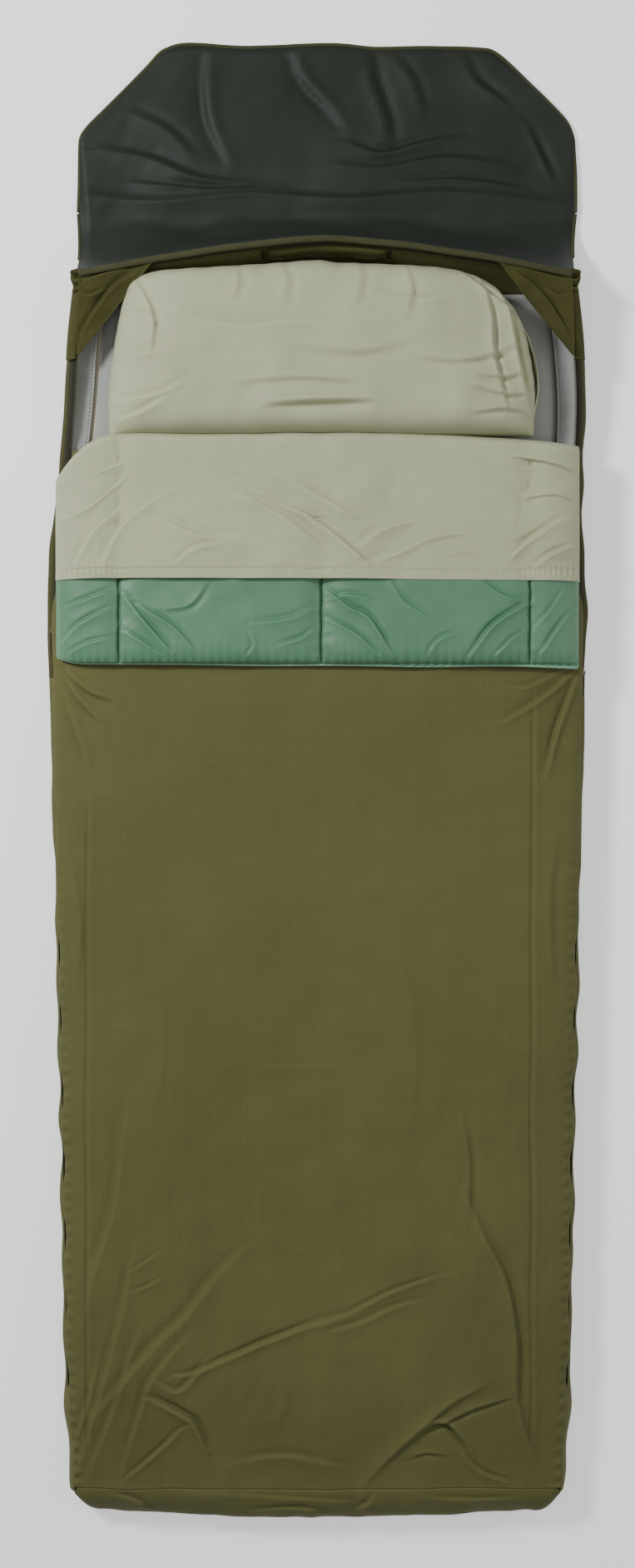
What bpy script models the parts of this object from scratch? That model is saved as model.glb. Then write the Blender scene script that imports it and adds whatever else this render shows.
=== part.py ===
"""Bivy sack (canvas bedroll) laid out on the ground, opened for the night.

A canvas tub holds a foam mattress, a sheet, a quilt and a pillow. Two zips join the tub's side
walls to the top cover. The head end of the cover, quilt and sheet is turned down as a cuff, and
the weather flap hangs open behind the head wall.

Frame: metres, +Z up, +Y towards the head, origin on the ground at the middle of the outline.
"""
import math

import bmesh
import bpy
from mathutils import Vector

# Overall plan
FOOT_Y = -1.171            # foot end of the tub
FLAP_END_Y = 1.171         # free edge of the open flap
WIDEST_Y = 0.26            # the sides taper from here towards the foot and the head
WIDEST_HALF = 0.4265
FOOT_TAPER = 0.0203        # half-width lost per metre towards the foot
HEAD_TAPER = 0.061         # half-width lost between WIDEST_Y and HEAD_Y
HEAD_Y = 0.80
ZIP_END_Y = -0.95          # the zips stop here
FOOT_DRAW = 0.012          # the foot corners are drawn in by this
FOOT_CORNER_R = 0.050
FOOT_BOW = 0.010

# Cloth and gaps
CANVAS = 0.0015
COTTON = 0.0012
GAP = 0.0003               # between pieces that touch
FLOOR_T = 0.0020

# Side walls and zips
WALL_TOP = 0.030           # height of the side walls along the zips
HEAD_RISE = 0.036          # the walls rise by this towards the head
WALL_BULGE = 0.008
ZIP_INSET = 0.010          # from the widest line of the wall in to the zip
TAPE_T = 0.0010
TAPE_W = 0.0077
COIL_T = 0.0032
COIL_W = 0.0038
CHAIN_GAP = 0.0014         # the slider's neck runs between the two coils

# Top cover
EDGE_Z = WALL_TOP + 2 * (TAPE_W + COIL_W) + CHAIN_GAP + 4 * GAP
TOP_Z = 0.082              # middle of the cover over the quilt
CREASE_Y = -1.112          # where the cover meets the foot wall
COVER_TUCK = 0.012         # the open cover edge draws in past the sliders

# Mattress, sheet and quilt
PAD_TOP = 0.045
PAD_MARGIN = 0.035
PAD_COVER_T = 0.0010
QUILT_Z = 0.0478
QUILT_MARGIN = 0.030
SHEET_MARGIN = 0.034
BED_FOOT_Y = -1.095

# Turned-down cuff
FOLD_Y = 0.527             # the bedding folds back here
CUFF_HALF = 0.408
CUFF_Z = 0.0845            # underside of the cuff
CUFF_DROOP = 0.014
COVER_CUFF_Y = 0.200
QUILT_CUFF_Y = 0.1785
SHEET_CUFF_Y = 0.308
HEM_W = 0.016
QUILT_CUFF_T = 0.026
PIPING_R = 0.0022

# Head end
RIM_Y = 0.832
RIM_BOW = 0.050
RIM_Z = 0.118
RIM_DROP = 0.024
RIM_HALF = 0.366
RIM_R = 0.0040
HEAD_LEAN = 0.035          # the head wall's foot stands in from its rim by this
HEAD_WALL_HALF = 0.360

# Pillow
PILLOW_X = (-0.325, 0.335)
PILLOW_Y = (0.531, 0.791)
PILLOW_Z = 0.0480
PILLOW_H = 0.108
PILLOW_CORNER = 0.124
CASE_T = 0.0012

# Weather flap
SKIRT_END_Y = 0.893
SKIRT_HALF = 0.376
FLAP_HINGE = (0, 0.838, 0.126)
FLAP_ROOT_Y = 0.900
FLAP_X = 0.0170
FLAP_HALF = 0.3950
FLAP_SHOULDER = (0.3870, 1.030)
FLAP_CORNER = (0.268, 1.158)
BINDING_W = 0.0030

# Zip sliders
SLIDER_Y = {"left": 0.233, "right": 0.167}
SLIDER_L = 0.018
SLIDER_PLATE_T = 0.0014
SLIDER_CLEAR = 0.0005
PULL_L = 0.038
PULL_AXIS_OUT = 0.0058     # the pull's pin, out from the zip's middle plane

SIDES = {"left": -1, "right": 1}
COLOURS = {
    "canvas": ((0.105, 0.100, 0.034, 1), 0.85, 0.0),
    "floor_cloth": ((0.045, 0.045, 0.030, 1), 0.80, 0.0),
    "coated_cloth": ((0.027, 0.033, 0.027, 1), 0.55, 0.0),
    "binding": ((0.060, 0.060, 0.022, 1), 0.80, 0.0),
    "lining": ((0.300, 0.310, 0.300, 1), 0.70, 0.0),
    "mattress_cloth": ((0.330, 0.340, 0.320, 1), 0.80, 0.0),
    "foam": ((0.550, 0.520, 0.400, 1), 0.95, 0.0),
    "sage_cotton": ((0.420, 0.430, 0.310, 1), 0.85, 0.0),
    "pillow_filling": ((0.700, 0.700, 0.680, 1), 0.90, 0.0),
    "quilt_nylon": ((0.120, 0.230, 0.150, 1), 0.40, 0.0),
    "zip_tape": ((0.022, 0.024, 0.014, 1), 0.85, 0.0),
    "zip_coil": ((0.040, 0.028, 0.020, 1), 0.45, 0.0),
    "zip_metal": ((0.180, 0.150, 0.100, 1), 0.35, 0.9),
}


def clear_scene():
    for obj in list(bpy.data.objects):
        bpy.data.objects.remove(obj, do_unlink=True)


def material(name):
    found = bpy.data.materials.get(name)
    if found:
        return found
    colour, roughness, metallic = COLOURS[name]
    made = bpy.data.materials.new(name)
    made.use_nodes = True
    shader = made.node_tree.nodes["Principled BSDF"]
    shader.inputs["Base Color"].default_value = colour
    shader.inputs["Roughness"].default_value = roughness
    shader.inputs["Metallic"].default_value = metallic
    return made


def smooth(t):
    """0 below t = 0, 1 above t = 1, and an S-curve between."""
    t = min(max(t, 0.0), 1.0)
    return t * t * (3 - 2 * t)


def steps(start, end, count):
    return [start + (end - start) * i / (count - 1) for i in range(count)]


# ---------------------------------------------------------------- the shape's rules

def half_width(y):
    """Half the tub's width at its widest height."""
    width = WIDEST_HALF + FOOT_TAPER * (y - WIDEST_Y)
    if y > WIDEST_Y:
        width -= HEAD_TAPER * ((y - WIDEST_Y) / (HEAD_Y - WIDEST_Y)) ** 1.35
    if y < ZIP_END_Y:
        width -= FOOT_DRAW * ((ZIP_END_Y - y) / (ZIP_END_Y - FOOT_Y)) ** 1.2
    return width


def zip_line(y):
    return half_width(y) - ZIP_INSET


def wall_top(y):
    """Height of a side wall's upper edge, level along the straight zip."""
    towards_head = HEAD_RISE * smooth((y - 0.30) / 0.48)
    past_zip = (EDGE_Z - 2 * GAP - WALL_TOP) * smooth((ZIP_END_Y - 0.008 - y) / 0.020)
    return WALL_TOP + towards_head + past_zip


def crown(x, y):
    """Height of the cover's middle surface over the quilt."""
    across = min(abs(x) / zip_line(y), 1.0)
    towards_foot = 1 - 0.62 * smooth((-0.93 - y) / (-0.93 - CREASE_Y))
    return EDGE_Z + CANVAS / 2 + (TOP_Z - EDGE_Z) * towards_foot * math.sqrt(1 - across ** 6)


def cuff_droop(x):
    return CUFF_DROOP * (abs(x) / CUFF_HALF) ** 8


def rim_y(x):
    return RIM_Y - RIM_BOW * (abs(x) / 0.378) ** 1.4


def rim_z(x):
    return RIM_Z - RIM_DROP * (x / 0.378) ** 2


def head_wall_point(x, up, inward=0.0):
    """A point on the head wall: up is 0 at the floor and 1 at the rim."""
    top = rim_z(x) - RIM_R - 2 * GAP
    bottom = FLOOR_T + GAP
    slope = math.hypot(HEAD_LEAN, top - bottom)
    y = rim_y(x) - HEAD_LEAN * (1 - up) - inward * (top - bottom) / slope
    z = bottom + (top - bottom) * up + inward * HEAD_LEAN / slope
    return Vector((x, y, z))


# ---------------------------------------------------------------- building tools

def finish(name, mesh, colour, parent=None, flat=False):
    obj = bpy.data.objects.new(name, mesh)
    bpy.context.collection.objects.link(obj)
    mesh.materials.append(material(colour))
    if not flat:
        mesh.shade_smooth()
        mesh.set_sharp_from_angle(angle=math.radians(40))
    if parent:
        obj.parent = parent
        obj.matrix_parent_inverse = parent.matrix_world.inverted()
    return obj


def to_mesh(name, bm):
    bmesh.ops.recalc_face_normals(bm, faces=bm.faces)
    mesh = bpy.data.meshes.new(name)
    bm.to_mesh(mesh)
    bm.free()
    return mesh


def add_grid(bm, rows):
    """Quads between neighbouring rows of points. Returns the rows of vertices."""
    verts = [[bm.verts.new(point) for point in row] for row in rows]
    for low, high in zip(verts, verts[1:]):
        for a, b, c, d in zip(low, low[1:], high[1:], high):
            bm.faces.new((a, b, c, d))
    return verts


def edge_loop(grid):
    """The vertices round a grid's edge, in order."""
    right = [row[-1] for row in grid[1:-1]]
    left = [row[0] for row in reversed(grid[1:-1])]
    return grid[0] + right + grid[-1][::-1] + left


def slab(name, lower, upper, colour, parent=None):
    """A closed body between two grids of points of the same size."""
    bm = bmesh.new()
    low = edge_loop(add_grid(bm, lower))
    high = edge_loop(add_grid(bm, upper))
    for i, vert in enumerate(low):
        j = (i + 1) % len(low)
        bm.faces.new((vert, low[j], high[j], high[i]))
    return finish(name, to_mesh(name, bm), colour, parent)


def cloth(name, rows, thickness, colour, parent=None):
    """A sheet of cloth: a grid of points, given its thickness about its middle."""
    bm = bmesh.new()
    add_grid(bm, rows)
    obj = finish(name, to_mesh(name, bm), colour, parent)
    solidify = obj.modifiers.new("Thickness", "SOLIDIFY")
    solidify.thickness = thickness
    solidify.offset = 0
    return obj


def loft(bm, sections, cap_start=True, cap_end=True):
    """Skin closed loops of points one after another."""
    loops = [[bm.verts.new(point) for point in section] for section in sections]
    for a, b in zip(loops, loops[1:]):
        for i in range(len(a)):
            j = (i + 1) % len(a)
            bm.faces.new((a[i], a[j], b[j], b[i]))
    if cap_start:
        bm.faces.new(loops[0][::-1])
    if cap_end:
        bm.faces.new(loops[-1])


def piping(name, points, radius, colour, parent=None):
    """A round cord sewn along a path."""
    curve = bpy.data.curves.new(name, "CURVE")
    curve.dimensions = "3D"
    curve.bevel_depth = radius
    curve.bevel_resolution = 1
    curve.use_fill_caps = True
    curve.render_resolution_u = 0
    spline = curve.splines.new("POLY")
    spline.points.add(len(points) - 1)
    for target, point in zip(spline.points, points):
        target.co = (*point, 1)
    curve.materials.append(material(colour))
    obj = bpy.data.objects.new(name, curve)
    bpy.context.collection.objects.link(obj)
    if parent:
        obj.parent = parent
        obj.matrix_parent_inverse = parent.matrix_world.inverted()
    return obj


def add_box(bm, low, high):
    made = bmesh.ops.create_cube(bm, size=1)["verts"]
    centre = (Vector(low) + Vector(high)) / 2
    size = Vector(high) - Vector(low)
    for vert in made:
        vert.co = Vector([c * s for c, s in zip(vert.co, size)]) + centre


def pivot(name, location, turn_z=0.0, parent=None):
    """An empty on a joint's axis, which the moving pieces are parented to."""
    empty = bpy.data.objects.new(name, None)
    bpy.context.collection.objects.link(empty)
    empty.location = location
    empty.rotation_euler = (0, 0, turn_z)
    if parent:
        bpy.context.view_layer.update()
        empty.parent = parent
        empty.matrix_parent_inverse = parent.matrix_world.inverted()
    bpy.context.view_layer.update()
    return empty


# ---------------------------------------------------------------- canvas tub

def floor_panel():
    columns = steps(-1, 1, 17)
    upper = []
    for along in steps(0, 1, 25):
        row = []
        for across in columns:
            corner = 1 - math.sqrt(1 - min(abs(across), 1) ** 8)
            foot = FOOT_Y + 0.004 + FOOT_CORNER_R * corner + FOOT_BOW * across ** 2
            head = rim_y(across * 0.366) - HEAD_LEAN + 0.008
            y = foot + (head - foot) * along
            row.append((across * (half_width(y) - 0.004), y, FLOOR_T))
        upper.append(row)
    lower = [[(x, y, 0) for x, y, _ in row] for row in upper]
    slab("floor_panel", lower, upper, "floor_cloth")


def side_wall(side, sign):
    rows = []
    for up in steps(0, 1, 5):
        row = []
        for y in foot_steps() + steps(0.30, 0.777, 10):
            bulge = WALL_BULGE * (1 - (2 * up - 1) ** 2)
            x = half_width(y) - ZIP_INSET + bulge + 0.002 * (1 - up)
            z = FLOOR_T + 2 * GAP + (wall_top(y) - FLOOR_T - 2 * GAP) * up
            row.append((sign * x, y, z))
        rows.append(row)
    cloth(f"{side}_side_wall", rows, CANVAS, "canvas")


def foot_steps():
    """Places along a wall: close together where its top edge steps up past the zip."""
    return [-1.103, -1.06, -1.00, -0.978, -0.971, -0.964, -0.957, ZIP_END_Y, -0.60, -0.25, 0.10]


def foot_path(inset, bow, corner_r):
    """Plan path round the foot from the left side to the right side."""
    start_y = -1.112
    half = half_width(start_y) - inset
    end_y = FOOT_Y + inset - 0.006
    points = []
    for angle in steps(0, 90, 7):
        turn = math.radians(angle)
        x = half - corner_r * (1 - math.cos(turn))
        y = start_y - (start_y - end_y - bow) * math.sin(turn)
        points.append((-x, y))
    flat = half - corner_r
    for x in steps(-flat, flat, 13)[1:-1]:
        points.append((x, end_y + bow * (x / flat) ** 2))
    points += [(-x, y) for x, y in reversed(points[:7])]
    return points


def foot_top_height(x):
    return crown(x, CREASE_Y) - CANVAS / 2


def foot_wall():
    base = foot_path(0.0095, FOOT_BOW, FOOT_CORNER_R)
    middle = foot_path(0.010, FOOT_BOW, FOOT_CORNER_R)
    top = [(x * 0.997, y + 0.047 * smooth((-y - 1.115) / 0.02)) for x, y in middle]
    rows = []
    for up in steps(0, 1, 5):
        row = []
        for (x0, y0), (x1, y1) in zip(base, top):
            top_z = foot_top_height(x1) - PIPING_R * 2 - 0.003
            blend = up ** 2
            z = FLOOR_T + GAP + (top_z - FLOOR_T - GAP) * math.sin(up * math.pi / 2)
            row.append((x0 + (x1 - x0) * blend, y0 + (y1 - y0) * blend, z))
        rows.append(row)
    cloth("foot_wall", rows, CANVAS, "canvas")
    cord = [(x, y, foot_top_height(x) - PIPING_R - 0.0016) for x, y in top]
    piping("foot_piping", cord, PIPING_R, "zip_tape")


def head_wall():
    rows = []
    for up in steps(0, 1, 4):
        rows.append([head_wall_point(x, up) for x in steps(-HEAD_WALL_HALF, HEAD_WALL_HALF, 17)])
    cloth("head_wall", rows, CANVAS, "canvas")


def rim_binding():
    points = [(x, rim_y(x), rim_z(x)) for x in steps(-RIM_HALF, RIM_HALF, 25)]
    piping("rim_binding", points, RIM_R - 0.0005, "binding")


def head_tab():
    """Padded tab sewn on the inside of the head wall, below the rim."""
    columns = steps(-0.076, 0.104, 9)
    faces = []
    for inward in (CANVAS / 2 + 0.0005, 0.0065):
        faces.append([[head_wall_point(x, up, inward) for x in columns] for up in (0.64, 0.76, 0.88)])
    tab = slab("head_tab", faces[0], faces[1], "canvas")
    soften(tab, 0.0015)


def soften(obj, width):
    bevel = obj.modifiers.new("Soft edges", "BEVEL")
    bevel.width = width
    bevel.segments = 2
    bevel.limit_method = "ANGLE"
    bevel.angle_limit = math.radians(50)


def corner_gusset(side, sign):
    """Triangle of canvas that closes the corner between the rim and the side wall."""
    rim_end = Vector((sign * 0.262, 0.7885, 0.1045))
    ear = Vector((sign * 0.366, 0.768, 0.0895))
    tip = Vector((sign * 0.370, 0.668, 0.0805))
    rows = []
    for along in steps(0, 0.96, 5):
        inner = rim_end.lerp(tip, along)
        outer = ear.lerp(tip, along)
        rows.append([inner.lerp(outer, across) for across in steps(0, 1, 4)])
    cloth(f"{side}_corner_gusset", rows, CANVAS, "canvas")


def corner_ear(side, sign):
    """Folded canvas where the rim, the flap and the side wall meet."""
    bm = bmesh.new()
    low = (sign * 0.3720 - 0.0090, 0.7720, 0.0915)
    high = (sign * 0.3720 + 0.0090, 0.7835, 0.1030)
    add_box(bm, (low[0] + sign * 0.006, low[1], low[2]), (high[0] + sign * 0.006, high[1], high[2]))
    ear = finish(f"{side}_corner_ear", to_mesh(f"{side}_corner_ear", bm), "canvas")
    soften(ear, 0.003)


def side_lining(side, sign):
    """Pale lining that slopes from the zip down to the mattress beside the pillow."""
    rows = []
    for across in steps(0, 1, 4):
        row = []
        for y in steps(0.44, 0.740, 8):
            outer = Vector((half_width(y) - 0.0135, y, wall_top(y) - 0.002))
            inner = Vector((half_width(y) - PAD_MARGIN + 0.0045, y, 0.030))
            point = inner.lerp(outer, across)
            row.append((sign * point.x, point.y, point.z))
        rows.append(row)
    cloth(f"{side}_lining", rows, 0.0010, "lining")


# ---------------------------------------------------------------- top cover and zips

def cover_half(y):
    return zip_line(y) - COVER_TUCK * smooth((y - WIDEST_Y) / 0.06)


def top_cover():
    rows = []
    for y in [CREASE_Y, -1.07, -1.02, -0.97, -0.90] + steps(-0.70, 0.20, 5) + steps(0.25, FOLD_Y, 8):
        row = []
        for angle in steps(-90, 90, 19):
            x = cover_half(y) * math.copysign(abs(math.sin(math.radians(angle))) ** 0.8, angle)
            row.append((x, y, crown(x, y)))
        rows.append(row)
    cloth("top_cover", rows, CANVAS, "canvas")


def strip(name, sign, places, x_at, low_at, high_at, thickness, colour):
    """A band standing on edge beside the zip line: a tape or a row of coils."""
    outer = []
    inner = []
    for height_at in (low_at, high_at):
        outer.append([(sign * (x_at(y) + thickness / 2), y, height_at(y)) for y in places])
        inner.append([(sign * (x_at(y) - thickness / 2), y, height_at(y)) for y in places])
    slab(name, inner, outer, colour)


def zip_halves(side, sign):
    straight = [ZIP_END_Y + 0.001, -0.50, 0.0, WIDEST_Y - 0.01]
    wall_places = straight + steps(0.30, 0.765, 10)
    strip(
        f"{side}_wall_zip_tape", sign, wall_places, zip_line,
        lambda y: wall_top(y) + GAP + CANVAS / 2,
        lambda y: wall_top(y) + TAPE_W, TAPE_T, "zip_tape",
    )
    strip(
        f"{side}_wall_zip_coil", sign, wall_places, zip_line,
        lambda y: wall_top(y) + TAPE_W + GAP,
        lambda y: wall_top(y) + TAPE_W + COIL_W, COIL_T, "zip_coil",
    )
    cover_places = straight + steps(0.262, 0.340, 6) + steps(0.40, FOLD_Y, 4)
    edge = cover_edge_height
    strip(
        f"{side}_cover_zip_tape", sign, cover_places, cover_half,
        lambda y: edge(y) - TAPE_W, lambda y: edge(y) - GAP, TAPE_T, "zip_tape",
    )
    strip(
        f"{side}_cover_zip_coil", sign, cover_places, cover_half,
        lambda y: edge(y) - TAPE_W - COIL_W - GAP, lambda y: edge(y) - TAPE_W - GAP, COIL_T, "zip_coil",
    )


def cover_edge_height(y):
    """Underside of the cover's edge, where its zip tape is sewn."""
    return min(crown(cover_half(y), y), EDGE_Z + 0.006) - CANVAS


def zip_stops(side, sign):
    bm = bmesh.new()
    x = sign * zip_line(ZIP_END_Y)
    low_z = WALL_TOP + TAPE_W + GAP
    add_box(bm, (x - 0.0022, ZIP_END_Y - 0.0055, low_z), (x + 0.0022, ZIP_END_Y, low_z + 0.009))
    soften(finish(f"{side}_bottom_stop", to_mesh(f"{side}_bottom_stop", bm), "zip_metal"), 0.0006)
    bm = bmesh.new()
    y = 0.7655
    x = sign * zip_line(y)
    low_z = wall_top(y) + TAPE_W + GAP
    add_box(bm, (x - 0.0022, y, low_z), (x + 0.0022, y + 0.005, low_z + 0.0045))
    soften(finish(f"{side}_top_stop", to_mesh(f"{side}_top_stop", bm), "zip_metal"), 0.0006)


def rod(x, radius, length):
    """An upright cylinder at x."""
    bm = bmesh.new()
    bmesh.ops.create_cone(bm, cap_ends=True, segments=16, radius1=radius, radius2=radius, depth=length)
    bmesh.ops.translate(bm, verts=bm.verts, vec=(x, 0, 0))
    return bm


def slider(side, sign):
    """Zip slider round both coils, with its pull tab on a pin."""
    y = SLIDER_Y[side]
    middle_z = WALL_TOP + TAPE_W + COIL_W + CHAIN_GAP / 2 + GAP / 2
    centre = (sign * zip_line(y), y, middle_z)
    track = pivot(f"{side}_slider_track", centre, -sign * math.atan(FOOT_TAPER))
    inner = COIL_T / 2 + SLIDER_CLEAR
    outer = inner + SLIDER_PLATE_T
    reach = COIL_W + CHAIN_GAP / 2 + 0.0018
    half = SLIDER_L / 2
    bm = bmesh.new()
    for face in (-1, 1):
        spans = sorted((face * inner, face * outer))
        add_box(bm, (spans[0], -half, -reach), (spans[1], half, reach))
    body = finish(f"{side}_slider", to_mesh(f"{side}_slider", bm), "zip_metal")
    extras = [
        ((-inner - 0.0007, 0.0035, -0.0004), (inner + 0.0007, 0.0075, 0.0004)),
        ((outer - 0.0007, -0.0030, 0.0030), (PULL_AXIS_OUT + 0.0014, 0.0030, 0.0044)),
        ((outer - 0.0007, -0.0030, -0.0044), (PULL_AXIS_OUT + 0.0014, 0.0030, -0.0030)),
    ]
    for number, (low, high) in enumerate(extras):
        cutter = bmesh.new()
        add_box(cutter, low, high)
        join(body, cutter, f"{side}_slider_join_{number}")
    join(body, rod(PULL_AXIS_OUT, 0.0008, 0.0074), f"{side}_slider_join_pin")
    place(body, track, sign)

    swing = pivot(f"{side}_pull_pin", track.matrix_world @ Vector((sign * PULL_AXIS_OUT, 0, 0)), 0.0, track)
    tab = bmesh.new()
    add_box(tab, (PULL_AXIS_OUT - 0.0008, -PULL_L, -0.0042), (PULL_AXIS_OUT + 0.0008, -0.0034, 0.0042))
    pull = finish(f"{side}_pull", to_mesh(f"{side}_pull", tab), "zip_metal")
    soften(pull, 0.0005)
    neck = bmesh.new()
    add_box(neck, (PULL_AXIS_OUT - 0.0007, -0.0050, -0.0024), (PULL_AXIS_OUT + 0.0007, -0.0005, 0.0024))
    join(pull, neck, f"{side}_pull_join_neck")
    join(pull, rod(PULL_AXIS_OUT, 0.0020, 0.0052), f"{side}_pull_join_eye")
    join(pull, rod(PULL_AXIS_OUT, 0.0012, 0.0120), f"{side}_pull_bore", "DIFFERENCE")
    place(pull, track, sign)
    pull.parent = swing
    pull.matrix_parent_inverse = swing.matrix_world.inverted() @ track.matrix_world


def join(obj, bm, name, operation="UNION"):
    """Add or cut a helper shape with a Boolean, and keep the helper out of the model."""
    helper = bpy.data.objects.new(name, to_mesh(name, bm))
    bpy.context.collection.objects.link(helper)
    helper.hide_render = True
    helper.display_type = "WIRE"
    boolean = obj.modifiers.new(name, "BOOLEAN")
    boolean.operation = operation
    boolean.object = helper
    helper.parent = obj


def place(obj, track, sign):
    """Put a piece made for the right side on its track, mirrored for the left."""
    shapes = [obj] + [child for child in obj.children if child.type == "MESH"]
    if sign < 0:
        for shape in shapes:
            for vert in shape.data.vertices:
                vert.co.x = -vert.co.x
            shape.data.flip_normals()
    obj.parent = track


# ---------------------------------------------------------------- bedding

def bed_rows(margin, low_at, high_at, head_y, edge_power):
    """Lower and upper grids of a pad that fills the tub, with rounded sides."""
    lower = []
    upper = []
    for y in [BED_FOOT_Y, -1.06, -1.02, -0.97, -0.90] + steps(-0.70, 0.20, 5) + steps(0.25, head_y, 8):
        half = half_width(y) - margin
        foot_round = 0.03 * (1 - math.sqrt(min(1, (y - BED_FOOT_Y + 0.004) / 0.06)))
        low_row = []
        high_row = []
        for angle in steps(-90, 90, 15):
            across = math.copysign(abs(math.sin(math.radians(angle))) ** 0.8, angle)
            x = across * (half - foot_round)
            middle = (low_at(x, y) + high_at(x, y)) / 2
            fill = 0.35 + 0.65 * (1 - abs(across) ** edge_power)
            low_row.append((x, y, middle + (low_at(x, y) - middle) * fill))
            high_row.append((x, y, middle + (high_at(x, y) - middle) * fill))
        lower.append(low_row)
        upper.append(high_row)
    return lower, upper


def mattress():
    lower, upper = bed_rows(
        PAD_MARGIN + 0.002, lambda x, y: FLOOR_T + GAP, lambda x, y: PAD_TOP - 0.0015, 0.735, 24,
    )
    slab("mattress_foam", lower, upper, "foam")
    _, upper = bed_rows(
        PAD_MARGIN, lambda x, y: FLOOR_T + GAP, lambda x, y: PAD_TOP, 0.737, 24,
    )
    cloth("mattress_cover", upper, PAD_COVER_T, "mattress_cloth")


def sheet_body():
    lower, upper = bed_rows(
        SHEET_MARGIN + 0.006, lambda x, y: PAD_TOP + 0.0009, lambda x, y: PAD_TOP + 0.0009 + COTTON,
        FOLD_Y, 60,
    )
    slab("sheet_body", lower, upper, "sage_cotton")


def quilt_body():
    lower, upper = bed_rows(
        QUILT_MARGIN, lambda x, y: QUILT_Z, lambda x, y: crown(x, y) - CANVAS / 2 - 0.0008, FOLD_Y, 14,
    )
    slab("quilt_body", lower, upper, "quilt_nylon")


def pillow_section(x, inset):
    """Loop round the pillow at x, from its foot edge over the top and back underneath."""
    left, right = PILLOW_X
    centre = (left + right) / 2
    half = (right - left) / 2
    reach = abs(x - centre) - (half - PILLOW_CORNER)
    cut = PILLOW_CORNER * (1 - math.sqrt(max(0.0, 1 - (max(reach, 0) / PILLOW_CORNER) ** 2)))
    foot = PILLOW_Y[0] + 0.35 * cut + inset
    head = PILLOW_Y[1] - cut - inset
    fullness = (1 - (abs(x - centre) / half) ** 3.2) ** 0.6 if abs(x - centre) < half else 0.0
    edge = 0.006 - inset / 4
    seam_z = PILLOW_Z + 0.014 + 0.016 * fullness
    over = []
    under = []
    for along in steps(-1, 1, 11):
        y = (foot + head) / 2 + (head - foot) / 2 * along
        round_off = (1 - abs(along) ** (5 if along < 0 else 2.8)) ** 0.55
        rise = (PILLOW_Z + PILLOW_H - seam_z - edge) * (0.14 + 0.86 * fullness) * round_off
        drop = (seam_z - edge - PILLOW_Z) * round_off
        over.append((x, y, seam_z + edge + max(rise - inset, 0)))
        under.append((x, y, seam_z - edge - max(drop - inset, 0)))
    return over + under[::-1]


def pillow_places():
    left, right = PILLOW_X
    return [(left + right) / 2 + (right - left) / 2 * math.sin(math.radians(a)) for a in steps(-84, 84, 19)]


def pillow(parent):
    bm = bmesh.new()
    loft(bm, [pillow_section(x, 0.0050) for x in pillow_places()[1:-1]])
    finish("pillow_core", to_mesh("pillow_core", bm), "pillow_filling", parent)
    bm = bmesh.new()
    loft(bm, [pillow_section(x, 0.0) for x in pillow_places()], cap_end=False)
    case = finish("pillowcase", to_mesh("pillowcase", bm), "sage_cotton", parent)
    solidify = case.modifiers.new("Thickness", "SOLIDIFY")
    solidify.thickness = CASE_T
    solidify.offset = -1


# ---------------------------------------------------------------- turned-down cuff

def cuff_layer(name, y_range, low_z, high_z, half, colour, parent, edge_fill=1.0):
    lower = []
    upper = []
    for y in steps(y_range[0], y_range[1], 6):
        low_row = []
        high_row = []
        for angle in steps(-90, 90, 17):
            across = math.copysign(abs(math.sin(math.radians(angle))) ** 0.8, angle)
            x = across * half
            fill = edge_fill + (1 - edge_fill) * math.sqrt(1 - abs(across) ** 10)
            low_row.append((x, y, low_z - cuff_droop(x)))
            high_row.append((x, y, low_z + (high_z - low_z) * fill - cuff_droop(x)))
        lower.append(low_row)
        upper.append(high_row)
    slab(name, lower, upper, colour, parent)


def cuff(parent):
    quilt_low = CUFF_Z + CANVAS + 0.0005
    quilt_high = quilt_low + QUILT_CUFF_T
    sheet_low = quilt_high + 0.0006
    cuff_layer("cover_cuff", (COVER_CUFF_Y, FOLD_Y), CUFF_Z, CUFF_Z + CANVAS, CUFF_HALF - 0.008,
               "canvas", parent)
    cuff_layer("quilt_cuff", (QUILT_CUFF_Y, FOLD_Y), quilt_low, quilt_high, CUFF_HALF,
               "quilt_nylon", parent, 0.70)
    cuff_layer("sheet_cuff", (SHEET_CUFF_Y, FOLD_Y), sheet_low, sheet_low + COTTON, CUFF_HALF - 0.030,
               "sage_cotton", parent)
    hem_low = sheet_low + COTTON + GAP
    cuff_layer("sheet_hem", (SHEET_CUFF_Y, SHEET_CUFF_Y + HEM_W), hem_low, hem_low + COTTON,
               CUFF_HALF - 0.031, "sage_cotton", parent)
    edge_y = QUILT_CUFF_Y - PIPING_R - GAP
    edge = []
    for x in steps(-CUFF_HALF + 0.004, CUFF_HALF - 0.004, 17):
        edge.append((x, edge_y, quilt_low + 0.45 * QUILT_CUFF_T - cuff_droop(x)))
    piping("quilt_edge_piping", edge, PIPING_R, "quilt_nylon", parent)
    for side, sign in SIDES.items():
        cuff_zip(side, sign, parent)


def cuff_zip(side, sign, parent):
    """The cover's zip half that is turned down with the cuff."""
    near = CUFF_HALF - 0.008 + GAP
    edge_z = CUFF_Z - cuff_droop(CUFF_HALF - 0.008)
    places = steps(COVER_CUFF_Y + 0.004, FOLD_Y - 0.002, 5)
    for name, start, width, thickness, colour in (
        ("tape", near, TAPE_W, TAPE_T, "zip_tape"),
        ("coil", near + TAPE_W + GAP, COIL_W, COIL_T, "zip_coil"),
    ):
        middle = edge_z + CANVAS / 2 - 0.002
        lower = []
        upper = []
        for y in places:
            lower.append([(sign * x, y, middle - thickness / 2) for x in (start, start + width)])
            upper.append([(sign * x, y, middle + thickness / 2) for x in (start, start + width)])
        slab(f"{side}_cuff_zip_{name}", lower, upper, colour, parent)


# ---------------------------------------------------------------- weather flap

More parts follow.
